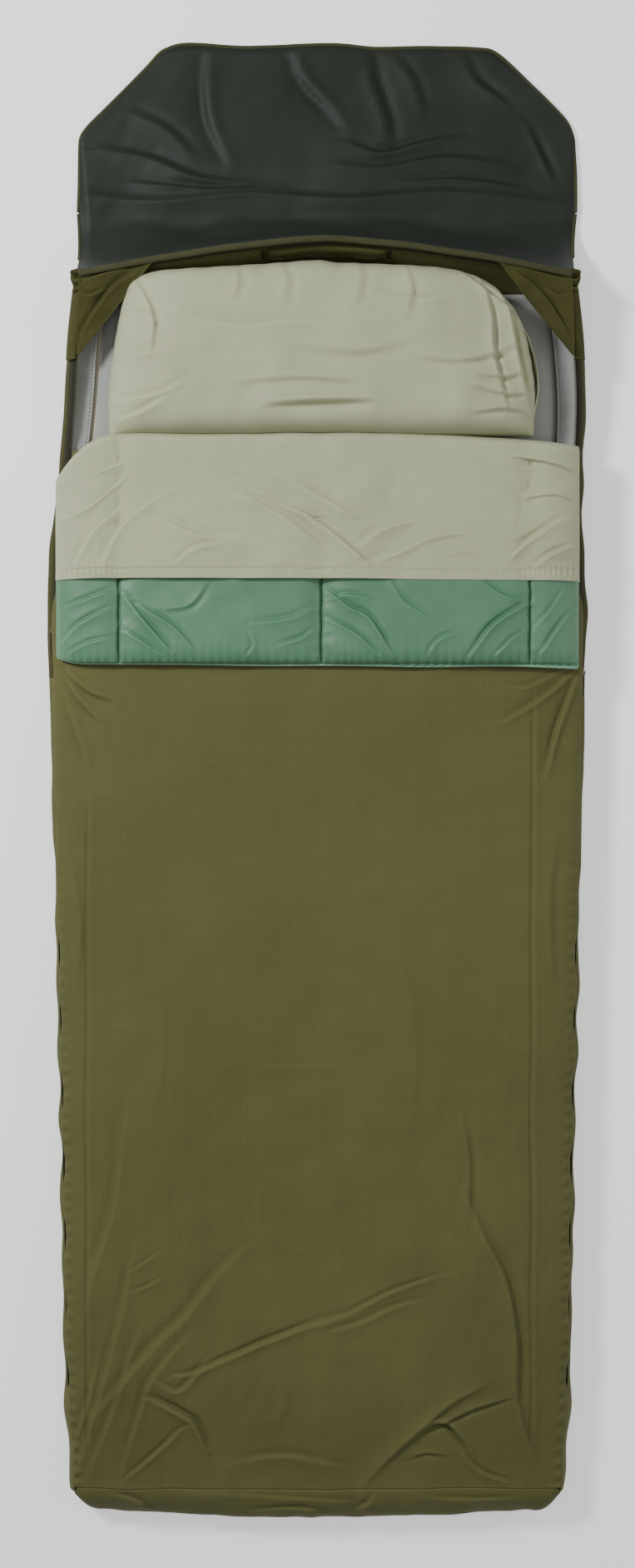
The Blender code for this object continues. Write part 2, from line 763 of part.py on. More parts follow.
def flap_skirt(parent):
    """The flap's root, which hangs from the rim to the ground behind the head wall."""
    rows = []
    for down in steps(0, 1, 5):
        row = []
        for x in steps(-SKIRT_HALF, SKIRT_HALF, 17):
            top = Vector((x, rim_y(x) + 0.0075, rim_z(x) - 0.0005))
            end = Vector((FLAP_X + x * FLAP_HALF / SKIRT_HALF, SKIRT_END_Y, 0.0055))
            row.append(top.lerp(end, down))
        rows.append(row)
    cloth("flap_skirt", rows, 0.0022, "coated_cloth", parent)


def flap_outline(inset):
    """Half of the flap's outline, from its root to the middle of its free edge, drawn in by inset."""
    shoulder_x, shoulder_y = FLAP_SHOULDER
    corner_x, corner_y = FLAP_CORNER
    edge = [
        Vector((FLAP_HALF, FLAP_ROOT_Y)),
        Vector((FLAP_HALF, 0.96)),
        Vector((FLAP_HALF, shoulder_y - 0.035)),
        Vector((shoulder_x + 0.0055, shoulder_y - 0.010)),
        Vector((shoulder_x - 0.006, shoulder_y + 0.012)),
        Vector((corner_x + 0.012, corner_y - 0.010)),
        Vector((corner_x, corner_y - 0.001)),
        Vector((corner_x - 0.022, corner_y + 0.0065)),
        Vector((0.10, FLAP_END_Y)),
        Vector((0.0, FLAP_END_Y)),
    ]
    drawn_in = []
    for i, point in enumerate(edge):
        before = edge[i - 1] if i else point - Vector((0, 1))
        after = edge[i + 1] if i + 1 < len(edge) else point - Vector((1, 0))
        along = (point - before).normalized() + (after - point).normalized()
        inward = Vector((-along.y, along.x)).normalized()
        corner = max(inward.dot(Vector((-(point - before).y, (point - before).x)).normalized()), 0.7)
        drawn_in.append(tuple(point + inward * inset / corner))
    return drawn_in


def flap_rows(inset, z):
    """Grid across the flap: each row runs from the left outline to the right outline."""
    outline = flap_outline(inset)[:-1]
    return [[(FLAP_X + across * x, y, z) for across in steps(-1, 1, 9)] for x, y in outline]


def flap_panel(parent):
    inset = BINDING_W + GAP
    cloth_z = 0.0
    slab("flap_outer", flap_rows(inset, cloth_z), flap_rows(inset, cloth_z + CANVAS), "canvas", parent)
    lining_z = cloth_z + CANVAS + GAP
    slab("flap_lining", flap_rows(inset, lining_z), flap_rows(inset, lining_z + COTTON),
         "coated_cloth", parent)
    outer = flap_outline(0.0)
    inner = flap_outline(BINDING_W)
    outer += [(-x, y) for x, y in reversed(outer[:-1])]
    inner += [(-x, y) for x, y in reversed(inner[:-1])]
    faces = []
    for z in (0.0003, 0.0035):
        faces.append([[(FLAP_X + x, y, z) for x, y in edge] for edge in (outer, inner)])
    slab("flap_binding", faces[0], faces[1], "binding", parent)


# ---------------------------------------------------------------- assembly

def main():
    clear_scene()
    floor_panel()
    foot_wall()
    head_wall()
    rim_binding()
    head_tab()
    top_cover()
    mattress()
    sheet_body()
    quilt_body()
    for side, sign in SIDES.items():
        side_wall(side, sign)
        corner_gusset(side, sign)
        corner_ear(side, sign)
        side_lining(side, sign)
        zip_halves(side, sign)
        zip_stops(side, sign)
        slider(side, sign)
    pillow(pivot("pillow_lift", (0, sum(PILLOW_Y) / 2, PILLOW_Z)))
    cuff(pivot("cuff_hinge", (0, FOLD_Y + 0.0005, CUFF_Z + CANVAS + QUILT_CUFF_T + COTTON + 0.0011)))
    root = pivot("flap_root_hinge", FLAP_HINGE)
    flap_skirt(root)
    flap_panel(pivot("flap_panel_hinge", (0, (SKIRT_END_Y + FLAP_ROOT_Y) / 2, 0.0050), 0.0, root))


main()
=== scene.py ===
"""Looks of the bivy sack: cloth, padding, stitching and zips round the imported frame.

Every piece is in metres in the frame's own axes: +Z up, +Y towards the head, origin on the ground.
"""
import math

import bmesh
import bpy
import numpy as np
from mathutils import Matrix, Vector


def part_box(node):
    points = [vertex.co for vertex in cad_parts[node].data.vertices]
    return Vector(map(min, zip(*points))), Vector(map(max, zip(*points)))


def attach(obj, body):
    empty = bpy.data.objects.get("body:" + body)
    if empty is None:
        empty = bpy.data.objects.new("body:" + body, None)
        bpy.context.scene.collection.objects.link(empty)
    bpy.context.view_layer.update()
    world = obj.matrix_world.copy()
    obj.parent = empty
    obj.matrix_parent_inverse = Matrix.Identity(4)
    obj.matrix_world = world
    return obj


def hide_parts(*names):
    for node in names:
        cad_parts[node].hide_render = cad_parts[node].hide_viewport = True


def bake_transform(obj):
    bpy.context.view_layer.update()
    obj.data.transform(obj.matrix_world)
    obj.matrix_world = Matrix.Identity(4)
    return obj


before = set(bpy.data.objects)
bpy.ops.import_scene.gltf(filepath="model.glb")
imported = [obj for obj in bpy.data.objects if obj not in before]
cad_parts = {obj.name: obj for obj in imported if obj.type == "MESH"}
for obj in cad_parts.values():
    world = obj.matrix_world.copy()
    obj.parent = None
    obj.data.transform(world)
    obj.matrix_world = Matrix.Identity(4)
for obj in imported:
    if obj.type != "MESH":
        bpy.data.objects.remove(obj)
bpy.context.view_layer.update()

# ---------------------------------------------------------------- places, from the frame

COVER_LOW, COVER_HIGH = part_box("top_cover")
CUFF_LOW, CUFF_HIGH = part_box("quilt_cuff")
SHEET_LOW, SHEET_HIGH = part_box("sheet_cuff")
PILLOW_LOW, PILLOW_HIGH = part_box("pillowcase")
FLAP_LOW, FLAP_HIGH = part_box("flap_binding")
SKIRT_LOW, SKIRT_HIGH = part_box("flap_skirt")
RIM_LOW, RIM_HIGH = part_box("rim_binding")
PAD_LOW, PAD_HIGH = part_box("mattress_cover")
TAB_LOW, TAB_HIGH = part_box("head_tab")
FOOT_LOW, FOOT_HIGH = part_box("foot_wall")

CREASE_Y = COVER_LOW[1]
FOLD_Y = COVER_HIGH[1]
FOOT_Y = FOOT_LOW[1]
TOP_Z = COVER_HIGH[2]
PAD_Z = PAD_HIGH[2]
CUFF_HALF = CUFF_HIGH[0]
RIM_R = 0.004
RIM_Y = RIM_HIGH[1] - RIM_R
RIM_Z = RIM_HIGH[2] - RIM_R

# The tub's plan, as in the frame
WIDEST_Y = 0.26
WIDEST_HALF = 0.4265
FOOT_TAPER = 0.0203
HEAD_TAPER = 0.061
HEAD_Y = 0.80
ZIP_END_Y = -0.95
FOOT_DRAW = 0.012
ZIP_INSET = 0.010
WALL_TOP = 0.030
HEAD_RISE = 0.036
EDGE_Z = 0.0556
WALL_HEAD_Y = 0.160        # where the walls turn darker with painted shade, beside the cuff
WALL_END_Y = 0.777
EAR_X = 0.3700
CUFF_FOOT_Y = 0.202        # lower edge of the cover where it is turned down
GROUND_GAP = 0.0012        # the tub's cloth stays this far above the ground
PAD_INSET = 0.0375         # from the wall to the mattress
RIM_HALF = 0.3735
TAB_SHIFT = -0.0125        # the tab lies a little left of its node
FLAP_GROUND = 0.0030       # lowest the flap's lining lies

SIDES = {"left": -1, "right": 1}


def smooth(t):
    """An even rise from 0 to 1."""
    t = np.clip(t, 0.0, 1.0)
    return t * t * (3 - 2 * t)


def xyz(x, y, z):
    """Points from three coordinates, any of which may be one number for all of them."""
    return np.stack(np.broadcast_arrays(x, y, z), axis=-1)


def half_width(y):
    """Half the tub's width at the ground."""
    y = np.asarray(y, float)
    width = WIDEST_HALF + FOOT_TAPER * (y - WIDEST_Y)
    headward = np.clip((y - WIDEST_Y) / (HEAD_Y - WIDEST_Y), 0, None)
    footward = np.clip((ZIP_END_Y - y) / (ZIP_END_Y - FOOT_Y), 0, None)
    return width - HEAD_TAPER * headward ** 1.35 - FOOT_DRAW * footward ** 1.2


def zip_line(y):
    """Half the width between the zips."""
    return half_width(y) - ZIP_INSET


def wall_top(y):
    """Height of the side walls' upper edge."""
    y = np.asarray(y, float)
    towards_head = HEAD_RISE * smooth((y - 0.30) / 0.48)
    past_zip = (EDGE_Z - WALL_TOP) * smooth((ZIP_END_Y + 0.010 - y) / 0.05)
    return WALL_TOP + towards_head + past_zip


def crown(x, y):
    """Height of the cover, filled out by the quilt and low at the zips and the foot."""
    across = np.clip(np.abs(x) / zip_line(y), 0, 1)
    towards_foot = 1 - 0.62 * smooth((-0.93 - y) / (-0.93 - CREASE_Y))
    return EDGE_Z + 0.001 + (TOP_Z - 0.001 - EDGE_Z) * towards_foot * np.sqrt(1 - across ** 6)


def rim_y(x):
    return RIM_Y - 0.050 * (np.abs(x) / 0.378) ** 1.4


def rim_z(x):
    return RIM_Z - 0.024 * (np.asarray(x) / 0.378) ** 2


def lean(y):
    """The head end lies a little towards +X."""
    return 0.0125 * smooth((y - 0.38) / 0.24) + 0.0050 * smooth((y - 0.84) / 0.14)


def flare(y):
    """The soft head end lies a little wider than the frame."""
    return 1 + 0.034 * smooth((y - 0.42) / 0.30) * (1 - smooth((y - 0.86) / 0.05))


# ---------------------------------------------------------------- noise, creases and ripples

def noise(x, y, scale, seed):
    """Smooth noise from -1 to 1 with features about 1/scale metres across."""
    lattice = np.random.RandomState(seed).uniform(-1, 1, (64, 64))
    u = np.asarray(x) * scale + 31.7
    v = np.asarray(y) * scale + 17.3
    i = np.floor(u).astype(int)
    j = np.floor(v).astype(int)
    a = smooth(u - i)
    b = smooth(v - j)
    low = lattice[i % 64, j % 64] * (1 - a) + lattice[(i + 1) % 64, j % 64] * a
    high = lattice[i % 64, (j + 1) % 64] * (1 - a) + lattice[(i + 1) % 64, (j + 1) % 64] * a
    return low * (1 - b) + high * b


def ripples(x, y, angle, wavelength, stretch, seed):
    """Long soft wrinkles that run along angle (degrees from +X)."""
    c, s = math.cos(math.radians(angle)), math.sin(math.radians(angle))
    along = x * c + y * s
    over = -x * s + y * c
    bend = over + 0.25 * wavelength * noise(along, over, 0.4 / wavelength, seed + 7)
    return noise(along / stretch, bend, 1 / wavelength, seed)


def crease(x, y, path, width, height, lee=0.5):
    """One fold along a path of points: a ridge that falls gently to its right and steeply to a
    valley on its left, fading at both ends."""
    best = np.full(np.shape(x), 1e9)
    signed = np.zeros(np.shape(x))
    place = np.zeros(np.shape(x))
    spans = [math.dist(a, b) for a, b in zip(path, path[1:])]
    total = sum(spans)
    done = 0.0
    for (ax, ay), (bx, by), span in zip(path, path[1:], spans):
        ux, uy = (bx - ax) / span, (by - ay) / span
        t = np.clip((x - ax) * ux + (y - ay) * uy, 0, span)
        dx, dy = x - ax - t * ux, y - ay - t * uy
        d = np.hypot(dx, dy)
        nearer = d < best
        best = np.where(nearer, d, best)
        signed = np.where(nearer, np.sign(ux * dy - uy * dx) * d, signed)
        place = np.where(nearer, (done + t) / total, place)
        done += span
    fade = np.sin(np.pi * np.clip(place * 0.94 + 0.03, 0, 1)) ** 0.7
    gentle = np.exp(-np.abs(signed) / (1.5 * width)) * np.exp(-(signed / (4 * width)) ** 2)
    steep = np.exp(-(signed / (0.75 * width)) ** 2)
    valley = np.exp(-((signed - 1.05 * width) / (0.8 * width)) ** 2)
    ridge = np.where(signed < 0, gentle, steep) - lee * valley * smooth(signed / (0.6 * width))
    return height * fade * ridge


def curved(points, count=14):
    """More points along a smooth curve through a few."""
    pts = [np.array(p, float) for p in points]
    pts = [2 * pts[0] - pts[1]] + pts + [2 * pts[-1] - pts[-2]]
    out = []
    for a, b, c, d in zip(pts, pts[1:], pts[2:], pts[3:]):
        for t in np.linspace(0, 1, count, endpoint=False):
            out.append(0.5 * (2 * b + (c - a) * t + (2 * a - 5 * b + 4 * c - d) * t * t
                              + (3 * b - a - 3 * c + d) * t ** 3))
    out.append(pts[-2])
    return [tuple(p) for p in out]


def creases(x, y, folds, gain=1.0):
    """The sum of a table of folds, each a path, a width, a height and the depth of its valley."""
    return sum(crease(x, y, curved(path, 5), width, gain * height, lee)
               for path, width, height, lee in folds)


# ---------------------------------------------------------------- materials

def new_material(name, colour, roughness):
    mat = bpy.data.materials.new(name)
    mat.use_nodes = True
    shader = mat.node_tree.nodes["Principled BSDF"]
    shader.inputs["Base Color"].default_value = (*colour, 1)
    shader.inputs["Roughness"].default_value = roughness
    return mat, mat.node_tree, shader


def fill_in(tree, node, **inputs):
    """Sets a node's inputs, or links those that are given a socket. An underscore stands for a space."""
    for name, value in inputs.items():
        socket = node.inputs[name.replace("_", " ")]
        if isinstance(value, bpy.types.NodeSocket):
            tree.links.new(value, socket)
        else:
            socket.default_value = value
    return node


def add_node(tree, kind, **inputs):
    return fill_in(tree, tree.nodes.new("ShaderNode" + kind), **inputs)


def texture(tree, vector, scale, detail, **inputs):
    return add_node(tree, "TexNoise", Vector=vector, Scale=scale, Detail=detail, **inputs).outputs["Fac"]


def calculated(tree, operation, a, b):
    node = tree.nodes.new("ShaderNodeMath")
    node.operation = operation
    for socket, value in zip(node.inputs, (a, b)):
        if isinstance(value, (int, float)):
            socket.default_value = value
        else:
            tree.links.new(value, socket)
    return node.outputs[0]


def weighted(tree, start, *terms):
    """start plus each term, a socket and its weight."""
    for socket, weight in terms:
        start = calculated(tree, "ADD", start, calculated(tree, "MULTIPLY", socket, weight))
    return start


def mixed(tree, factor, dark, light):
    node = tree.nodes.new("ShaderNodeMix")
    node.data_type = "RGBA"
    return fill_in(tree, node, Factor=factor, A=(*dark, 1), B=(*light, 1)).outputs["Result"]


def cloth_material(name, dark, light, roughness=0.85, thread=0.0009, weave=0.35, sheen=0.0, mottle=5.0,
                   crinkle=0.0, by_uv=True, fold_wear_and_shading=0.25, twill=False, gloss=0.25, slubs=0.25):
    """Woven cloth: threads both ways, uneven dye, ridges paler for wear and as painted highlight, valleys
    darker as painted shade.
    """
    mat, tree, shader = new_material(name, light, roughness)
    place = add_node(tree, "TexCoord").outputs["Object"]
    woven = add_node(tree, "TexCoord").outputs["UV"] if by_uv else place
    waves = []
    for axis in ("X", "Y"):
        wave = add_node(tree, "TexWave", Vector=woven, Scale=0.314 / thread, Distortion=0.6,
                        Detail_Scale=2.0)
        wave.bands_direction = "DIAGONAL" if twill and axis == "X" else axis
        waves.append(wave.outputs["Fac"])
    threads = calculated(tree, "MULTIPLY", *waves)
    dye = texture(tree, place, mottle, 6, Roughness=0.6)
    slub = texture(tree, place, 260, 2)
    streaks = []
    for stretch in ((240.0, 7.0, 7.0), (7.0, 240.0, 7.0)):
        scaled = add_node(tree, "Mapping", Vector=place, Scale=stretch).outputs["Vector"]
        streaks.append(texture(tree, scaled, 1.0, 2))
    yarns = calculated(tree, "SUBTRACT", calculated(tree, "ADD", *streaks), 1.0)
    # Pointiness paints the folds: ridges paler for wear and as painted highlight, valleys darker as painted
    # shade
    pointed = add_node(tree, "NewGeometry").outputs["Pointiness"]
    ridge = add_node(tree, "MapRange", Value=pointed, From_Min=0.44, From_Max=0.56, To_Min=-fold_wear_and_shading,
                     To_Max=fold_wear_and_shading)
    total = weighted(tree, calculated(tree, "MULTIPLY", dye, 0.9), (slub, 0.18), (threads, 0.25))
    total = calculated(tree, "ADD", total, ridge.outputs["Result"])
    total = weighted(tree, total, (yarns, slubs))
    rough = add_node(tree, "MapRange", Value=dye, To_Min=max(roughness - 0.10, 0.05),
                     To_Max=min(roughness + 0.08, 1.0))
    height = weighted(tree, threads, (slub, 0.8), (yarns, slubs * 1.5))
    bump = add_node(tree, "Bump", Height=height, Strength=weave, Distance=0.0003)
    if crinkle:
        folds = texture(tree, place, 38, 3, Distortion=0.8)
        bump = add_node(tree, "Bump", Height=folds, Normal=bump.outputs["Normal"], Strength=crinkle,
                        Distance=0.002)
    fill_in(tree, shader, Base_Color=mixed(tree, total, dark, light), Roughness=rough.outputs["Result"],
            Normal=bump.outputs["Normal"], Specular_IOR_Level=gloss, Sheen_Weight=sheen, Sheen_Roughness=0.5)
    return mat


def solid_material(name, dark, light, roughness, metallic=0.0, scale=90.0):
    """Moulded or cast material with small stains and scuffs."""
    mat, tree, shader = new_material(name, light, roughness)
    spots = texture(tree, add_node(tree, "TexCoord").outputs["Object"], scale, 4)
    bump = add_node(tree, "Bump", Height=spots, Strength=0.2, Distance=0.0002)
    fill_in(tree, shader, Metallic=metallic, Base_Color=mixed(tree, spots, dark, light),
            Normal=bump.outputs["Normal"])
    return mat


CANVAS = cloth_material("olive_canvas", (0.071, 0.070, 0.022), (0.118, 0.119, 0.043), 0.88,
                        thread=0.0010, weave=0.45, mottle=4.0, twill=True)
# Painted shade: the same olive canvas made darker for the pieces by the head that lie in shade (upper walls,
# corners, tab, gussets, bands and ears)
CANVAS_SHADED = cloth_material("olive_canvas_painted_shade", (0.028, 0.028, 0.007), (0.066, 0.065, 0.017), 0.88,
                             thread=0.0010, weave=0.45, mottle=9.0, twill=True)
COATED = cloth_material("coated_charcoal", (0.0108, 0.0150, 0.0102), (0.0235, 0.0290, 0.0225), 0.60,
                        thread=0.0007, weave=0.10, mottle=5.0, crinkle=0.10, fold_wear_and_shading=0.2,
                        gloss=0.22, slubs=0.05)
FLOORING = cloth_material("floor_cloth", (0.020, 0.022, 0.012), (0.045, 0.046, 0.028), 0.75,
                          thread=0.0010, weave=0.3, mottle=5.0, by_uv=False)
BINDING = cloth_material("olive_binding", (0.024, 0.025, 0.009), (0.058, 0.060, 0.027), 0.85,
                         thread=0.0012, weave=0.6, mottle=20.0)
LINING = cloth_material("pale_lining", (0.190, 0.195, 0.190), (0.330, 0.335, 0.325), 0.55,
                        thread=0.0006, weave=0.15, sheen=0.1, mottle=9.0, crinkle=0.15)
PAD_CLOTH = cloth_material("pad_cloth", (0.230, 0.235, 0.220), (0.360, 0.365, 0.345), 0.85,
                           thread=0.0009, weave=0.3, mottle=8.0)
COTTON = cloth_material("sage_cotton", (0.326, 0.342, 0.212), (0.458, 0.474, 0.312), 0.88,
                        thread=0.0007, weave=0.30, mottle=7.0)
NYLON = cloth_material("quilt_nylon", (0.055, 0.163, 0.086), (0.106, 0.238, 0.134), 0.48,
                       thread=0.0005, weave=0.08, mottle=10.0, crinkle=0.05,
                       fold_wear_and_shading=0.45, gloss=0.35)
PIPING = cloth_material("quilt_piping", (0.120, 0.270, 0.170), (0.190, 0.360, 0.240), 0.55,
                        thread=0.0006, weave=0.3, mottle=20.0, gloss=0.3)
TAPE = cloth_material("zip_tape", (0.010, 0.011, 0.006), (0.030, 0.031, 0.017), 0.85,
                      thread=0.0008, weave=0.6, mottle=30.0, by_uv=False)
BROWN_TAPE = cloth_material("brown_tape", (0.022, 0.016, 0.008), (0.060, 0.045, 0.024), 0.85,
                            thread=0.0008, weave=0.6, mottle=30.0, by_uv=False)
THREAD = solid_material("thread", (0.055, 0.054, 0.020), (0.105, 0.102, 0.042), 0.80)
DARK_THREAD = solid_material("dark_thread", (0.020, 0.060, 0.036), (0.045, 0.100, 0.062), 0.80)
PALE_THREAD = solid_material("pale_thread", (0.380, 0.385, 0.290), (0.520, 0.525, 0.410), 0.80)
COIL = solid_material("coil_nylon", (0.022, 0.015, 0.009), (0.070, 0.048, 0.030), 0.40)
METAL = solid_material("aged_brass", (0.075, 0.058, 0.032), (0.190, 0.155, 0.095), 0.36, 0.9)
FOAM = solid_material("foam", (0.480, 0.440, 0.320), (0.620, 0.580, 0.450), 0.95, scale=400)


# ---------------------------------------------------------------- building tools

def add_object(name, mesh, mat, body, replaces=(), leaning=True):
    """Puts a mesh into the scene. Pieces that lean follow the head end's lean and flare."""
    if leaning:
        count = len(mesh.vertices)
        places = np.empty(count * 3, np.float32)
        mesh.vertices.foreach_get("co", places)
        places = places.reshape(-1, 3)
        places[:, 0] = places[:, 0] * flare(places[:, 1]) + lean(places[:, 1])
        mesh.vertices.foreach_set("co", places.ravel())
    obj = bpy.data.objects.new(name, mesh)
    bpy.context.scene.collection.objects.link(obj)
    mesh.materials.append(mat)
    if body:
        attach(obj, body)
    if replaces:
        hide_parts(*replaces)
    return obj


def grid_mesh(name, points, close_u=False):
    """A smooth mesh through a grid of points (rows, columns, 3), with its UV in metres."""
    points = np.asarray(points, float)
    rows, cols = points.shape[:2]
    index = np.arange(rows * cols).reshape(rows, cols)
    right = np.roll(index, -1, axis=1) if close_u else index[:, 1:]
    left = index if close_u else index[:, :-1]
    faces = np.stack([left[:-1], right[:-1], right[1:], left[1:]], axis=-1).reshape(-1, 4)
    mesh = bpy.data.meshes.new(name)
    mesh.from_pydata(points.reshape(-1, 3).tolist(), [], faces.tolist())
    across = np.linalg.norm(np.diff(points, axis=1), axis=2).mean(axis=0)
    along = np.linalg.norm(np.diff(points, axis=0), axis=2).mean(axis=1)
    u = np.concatenate([[0], np.cumsum(across)])
    v = np.concatenate([[0], np.cumsum(along)])
    uu, vv = np.meshgrid(u, v)
    flat = np.stack([uu.ravel(), vv.ravel()], axis=-1)
    layer = mesh.uv_layers.new(name="UVMap")
    corners = np.empty(len(mesh.loops), np.int32)
    mesh.loops.foreach_get("vertex_index", corners)
    layer.data.foreach_set("uv", flat[corners].ravel())
    mesh.shade_smooth()
    return mesh


def cloth(name, points, mat, body, replaces=(), thickness=0.0012, leaning=True):
    """A sheet through a grid of points, with its thickness shared between both faces."""
    obj = add_object(name, grid_mesh(name, points), mat, body, replaces, leaning)
    mod = obj.modifiers.new("Cloth thickness", "SOLIDIFY")
    mod.thickness = thickness
    mod.offset = 0.0
    return obj


def closed_pad(name, low, high, mat, body, replaces=(), leaning=True):
    """A closed cushion between two grids that meet, or nearly meet, along their edges."""
    low = np.asarray(low, float)
    high = np.asarray(high, float)
    bm = bmesh.new()
    for points in (low, high):
        bm.from_mesh(grid_mesh(name + "_half", points))
    rows, cols = low.shape[:2]
    index = np.arange(rows * cols).reshape(rows, cols)
    loop = list(index[0]) + list(index[1:-1, -1]) + list(index[-1][::-1]) + list(index[1:-1, 0][::-1])
    bm.verts.ensure_lookup_table()
    shift = rows * cols
    for i, a in enumerate(loop):
        b = loop[(i + 1) % len(loop)]
        bm.faces.new([bm.verts[int(k)] for k in (a, b, b + shift, a + shift)])
    bmesh.ops.remove_doubles(bm, verts=bm.verts, dist=0.00002)
    bmesh.ops.recalc_face_normals(bm, faces=bm.faces)
    mesh = bpy.data.meshes.new(name)
    bm.to_mesh(mesh)
    bm.free()
    mesh.shade_smooth()
    return add_object(name, mesh, mat, body, replaces, leaning)


def along_path(points, t):
    """Points at places t (0 to 1 of its length) on a smooth curve through a few points."""
    pts = np.array(curved(points, 8))
    at = np.concatenate([[0], np.cumsum(np.linalg.norm(np.diff(pts, axis=0), axis=1))])
    return np.stack([np.interp(np.asarray(t) * at[-1], at, pts[:, k]) for k in range(2)], axis=-1)


def patch(bottom, top, left, right, s, t):
    """Plan points that fill four edge curves. s and t run from 0 to 1 across and along."""
    low, high = along_path(bottom, s)[None], along_path(top, s)[None]
    first, last = along_path(left, t)[:, None], along_path(right, t)[:, None]
    ss, tt = s[None, :, None], t[:, None, None]
    sides = (1 - ss) * first + ss * last
    ends = (1 - tt) * low + tt * high
    corners = ((1 - ss) * (1 - tt) * first[:1] + ss * (1 - tt) * last[:1]
               + (1 - ss) * tt * first[-1:] + ss * tt * last[-1:])
    return sides + ends - corners


def tube_points(path, radius, flat=1.0, sides=10):
    """Rings of points round a path, flattened along Z by flat."""
    path = [Vector(p) for p in path]
    rings = []
    for i, point in enumerate(path):
        ahead = path[min(i + 1, len(path) - 1)] - path[max(i - 1, 0)]
        side = ahead.cross(Vector((0, 0, 1))).normalized()
        up = side.cross(ahead).normalized()
        ring = []
        for k in range(sides):
            turn = 2 * math.pi * k / sides
            ring.append(point + side * radius * math.cos(turn) + up * radius * flat * math.sin(turn))
        rings.append([tuple(p) for p in ring])
    return rings


def tube(name, path, radius, mat, body, replaces=(), flat=1.0, sides=10, leaning=True):
    """A closed round or flattened cord along a path."""
    mesh = grid_mesh(name, tube_points(path, radius, flat, sides), close_u=True)
    bm = bmesh.new()
    bm.from_mesh(mesh)
    bmesh.ops.holes_fill(bm, edges=bm.edges, sides=sides + 1)
    bmesh.ops.recalc_face_normals(bm, faces=bm.faces)
    bm.to_mesh(mesh)
    bm.free()
    return add_object(name, mesh, mat, body, replaces, leaning)


def resample(path, spacing):
    """Evenly spaced points along a path, and the direction at each."""
    pts = np.array([tuple(p) for p in path], float)
    lengths = np.linalg.norm(np.diff(pts, axis=0), axis=1)
    at = np.concatenate([[0], np.cumsum(lengths)])
    places = np.arange(spacing / 2, at[-1], spacing)
    out = np.stack([np.interp(places, at, pts[:, k]) for k in range(3)], axis=-1)
    ahead = np.stack([np.interp(places + spacing / 4, at, pts[:, k]) for k in range(3)], axis=-1)
    along = ahead - out
    along /= np.maximum(np.linalg.norm(along, axis=1, keepdims=True), 1e-9)
    return out, along


def beads(name, places, along, size, mat, body, replaces=(), up=(0, 0, 1), leaning=True):
    """Small rounded bars (length, width, height), one at each place and turned along its direction."""
    length, width, height = (s / 2 for s in size)
    ring = [(-1, -0.6, 0), (-0.7, -1, 0), (0.7, -1, 0), (1, -0.6, 0),
            (1, 0.6, 0), (0.7, 1, 0), (-0.7, 1, 0), (-1, 0.6, 0)]
    shape = [(x, y, -0.6) for x, y, _ in ring] + [(x * 0.8, y * 0.7, 1.0) for x, y, _ in ring]
    shape = np.array(shape) * (length, width, height)
    verts = []
    faces = []
    for place, ahead in zip(places, along):
        side = np.cross(up, ahead)
        side /= max(np.linalg.norm(side), 1e-9)
        top = np.cross(ahead, side)
        base = len(verts)
        verts += (place + shape[:, :1] * ahead + shape[:, 1:2] * side + shape[:, 2:] * top).tolist()
        for k in range(8):
            n = (k + 1) % 8
            faces.append((base + k, base + n, base + 8 + n, base + 8 + k))
        faces.append(tuple(base + k for k in reversed(range(8))))
        faces.append(tuple(base + 8 + k for k in range(8)))
    mesh = bpy.data.meshes.new(name)
    mesh.from_pydata(verts, [], faces)
    mesh.shade_smooth()
    return add_object(name, mesh, mat, body, replaces, leaning)


def stitches(name, path, body, mat=THREAD, spacing=0.0042, length=0.0030, leaning=True):
    places, along = resample(path, spacing)
    return beads(name, places, along, (length, 0.0007, 0.0006), mat, body, leaning=leaning)


def coil(name, path, size, replaces=(), body="tub", spacing=0.0030):
    """Zip teeth along a path."""
    places, along = resample(path, spacing)
    return beads(name, places, along, size, COIL, body, replaces)


def eased(count, power=0.75):
    """Places from -1 to 1, closer together near both ends."""
    angle = np.linspace(-math.pi / 2, math.pi / 2, count)
    return np.sign(angle) * np.abs(np.sin(angle)) ** power


# ---------------------------------------------------------------- canvas cover and tub

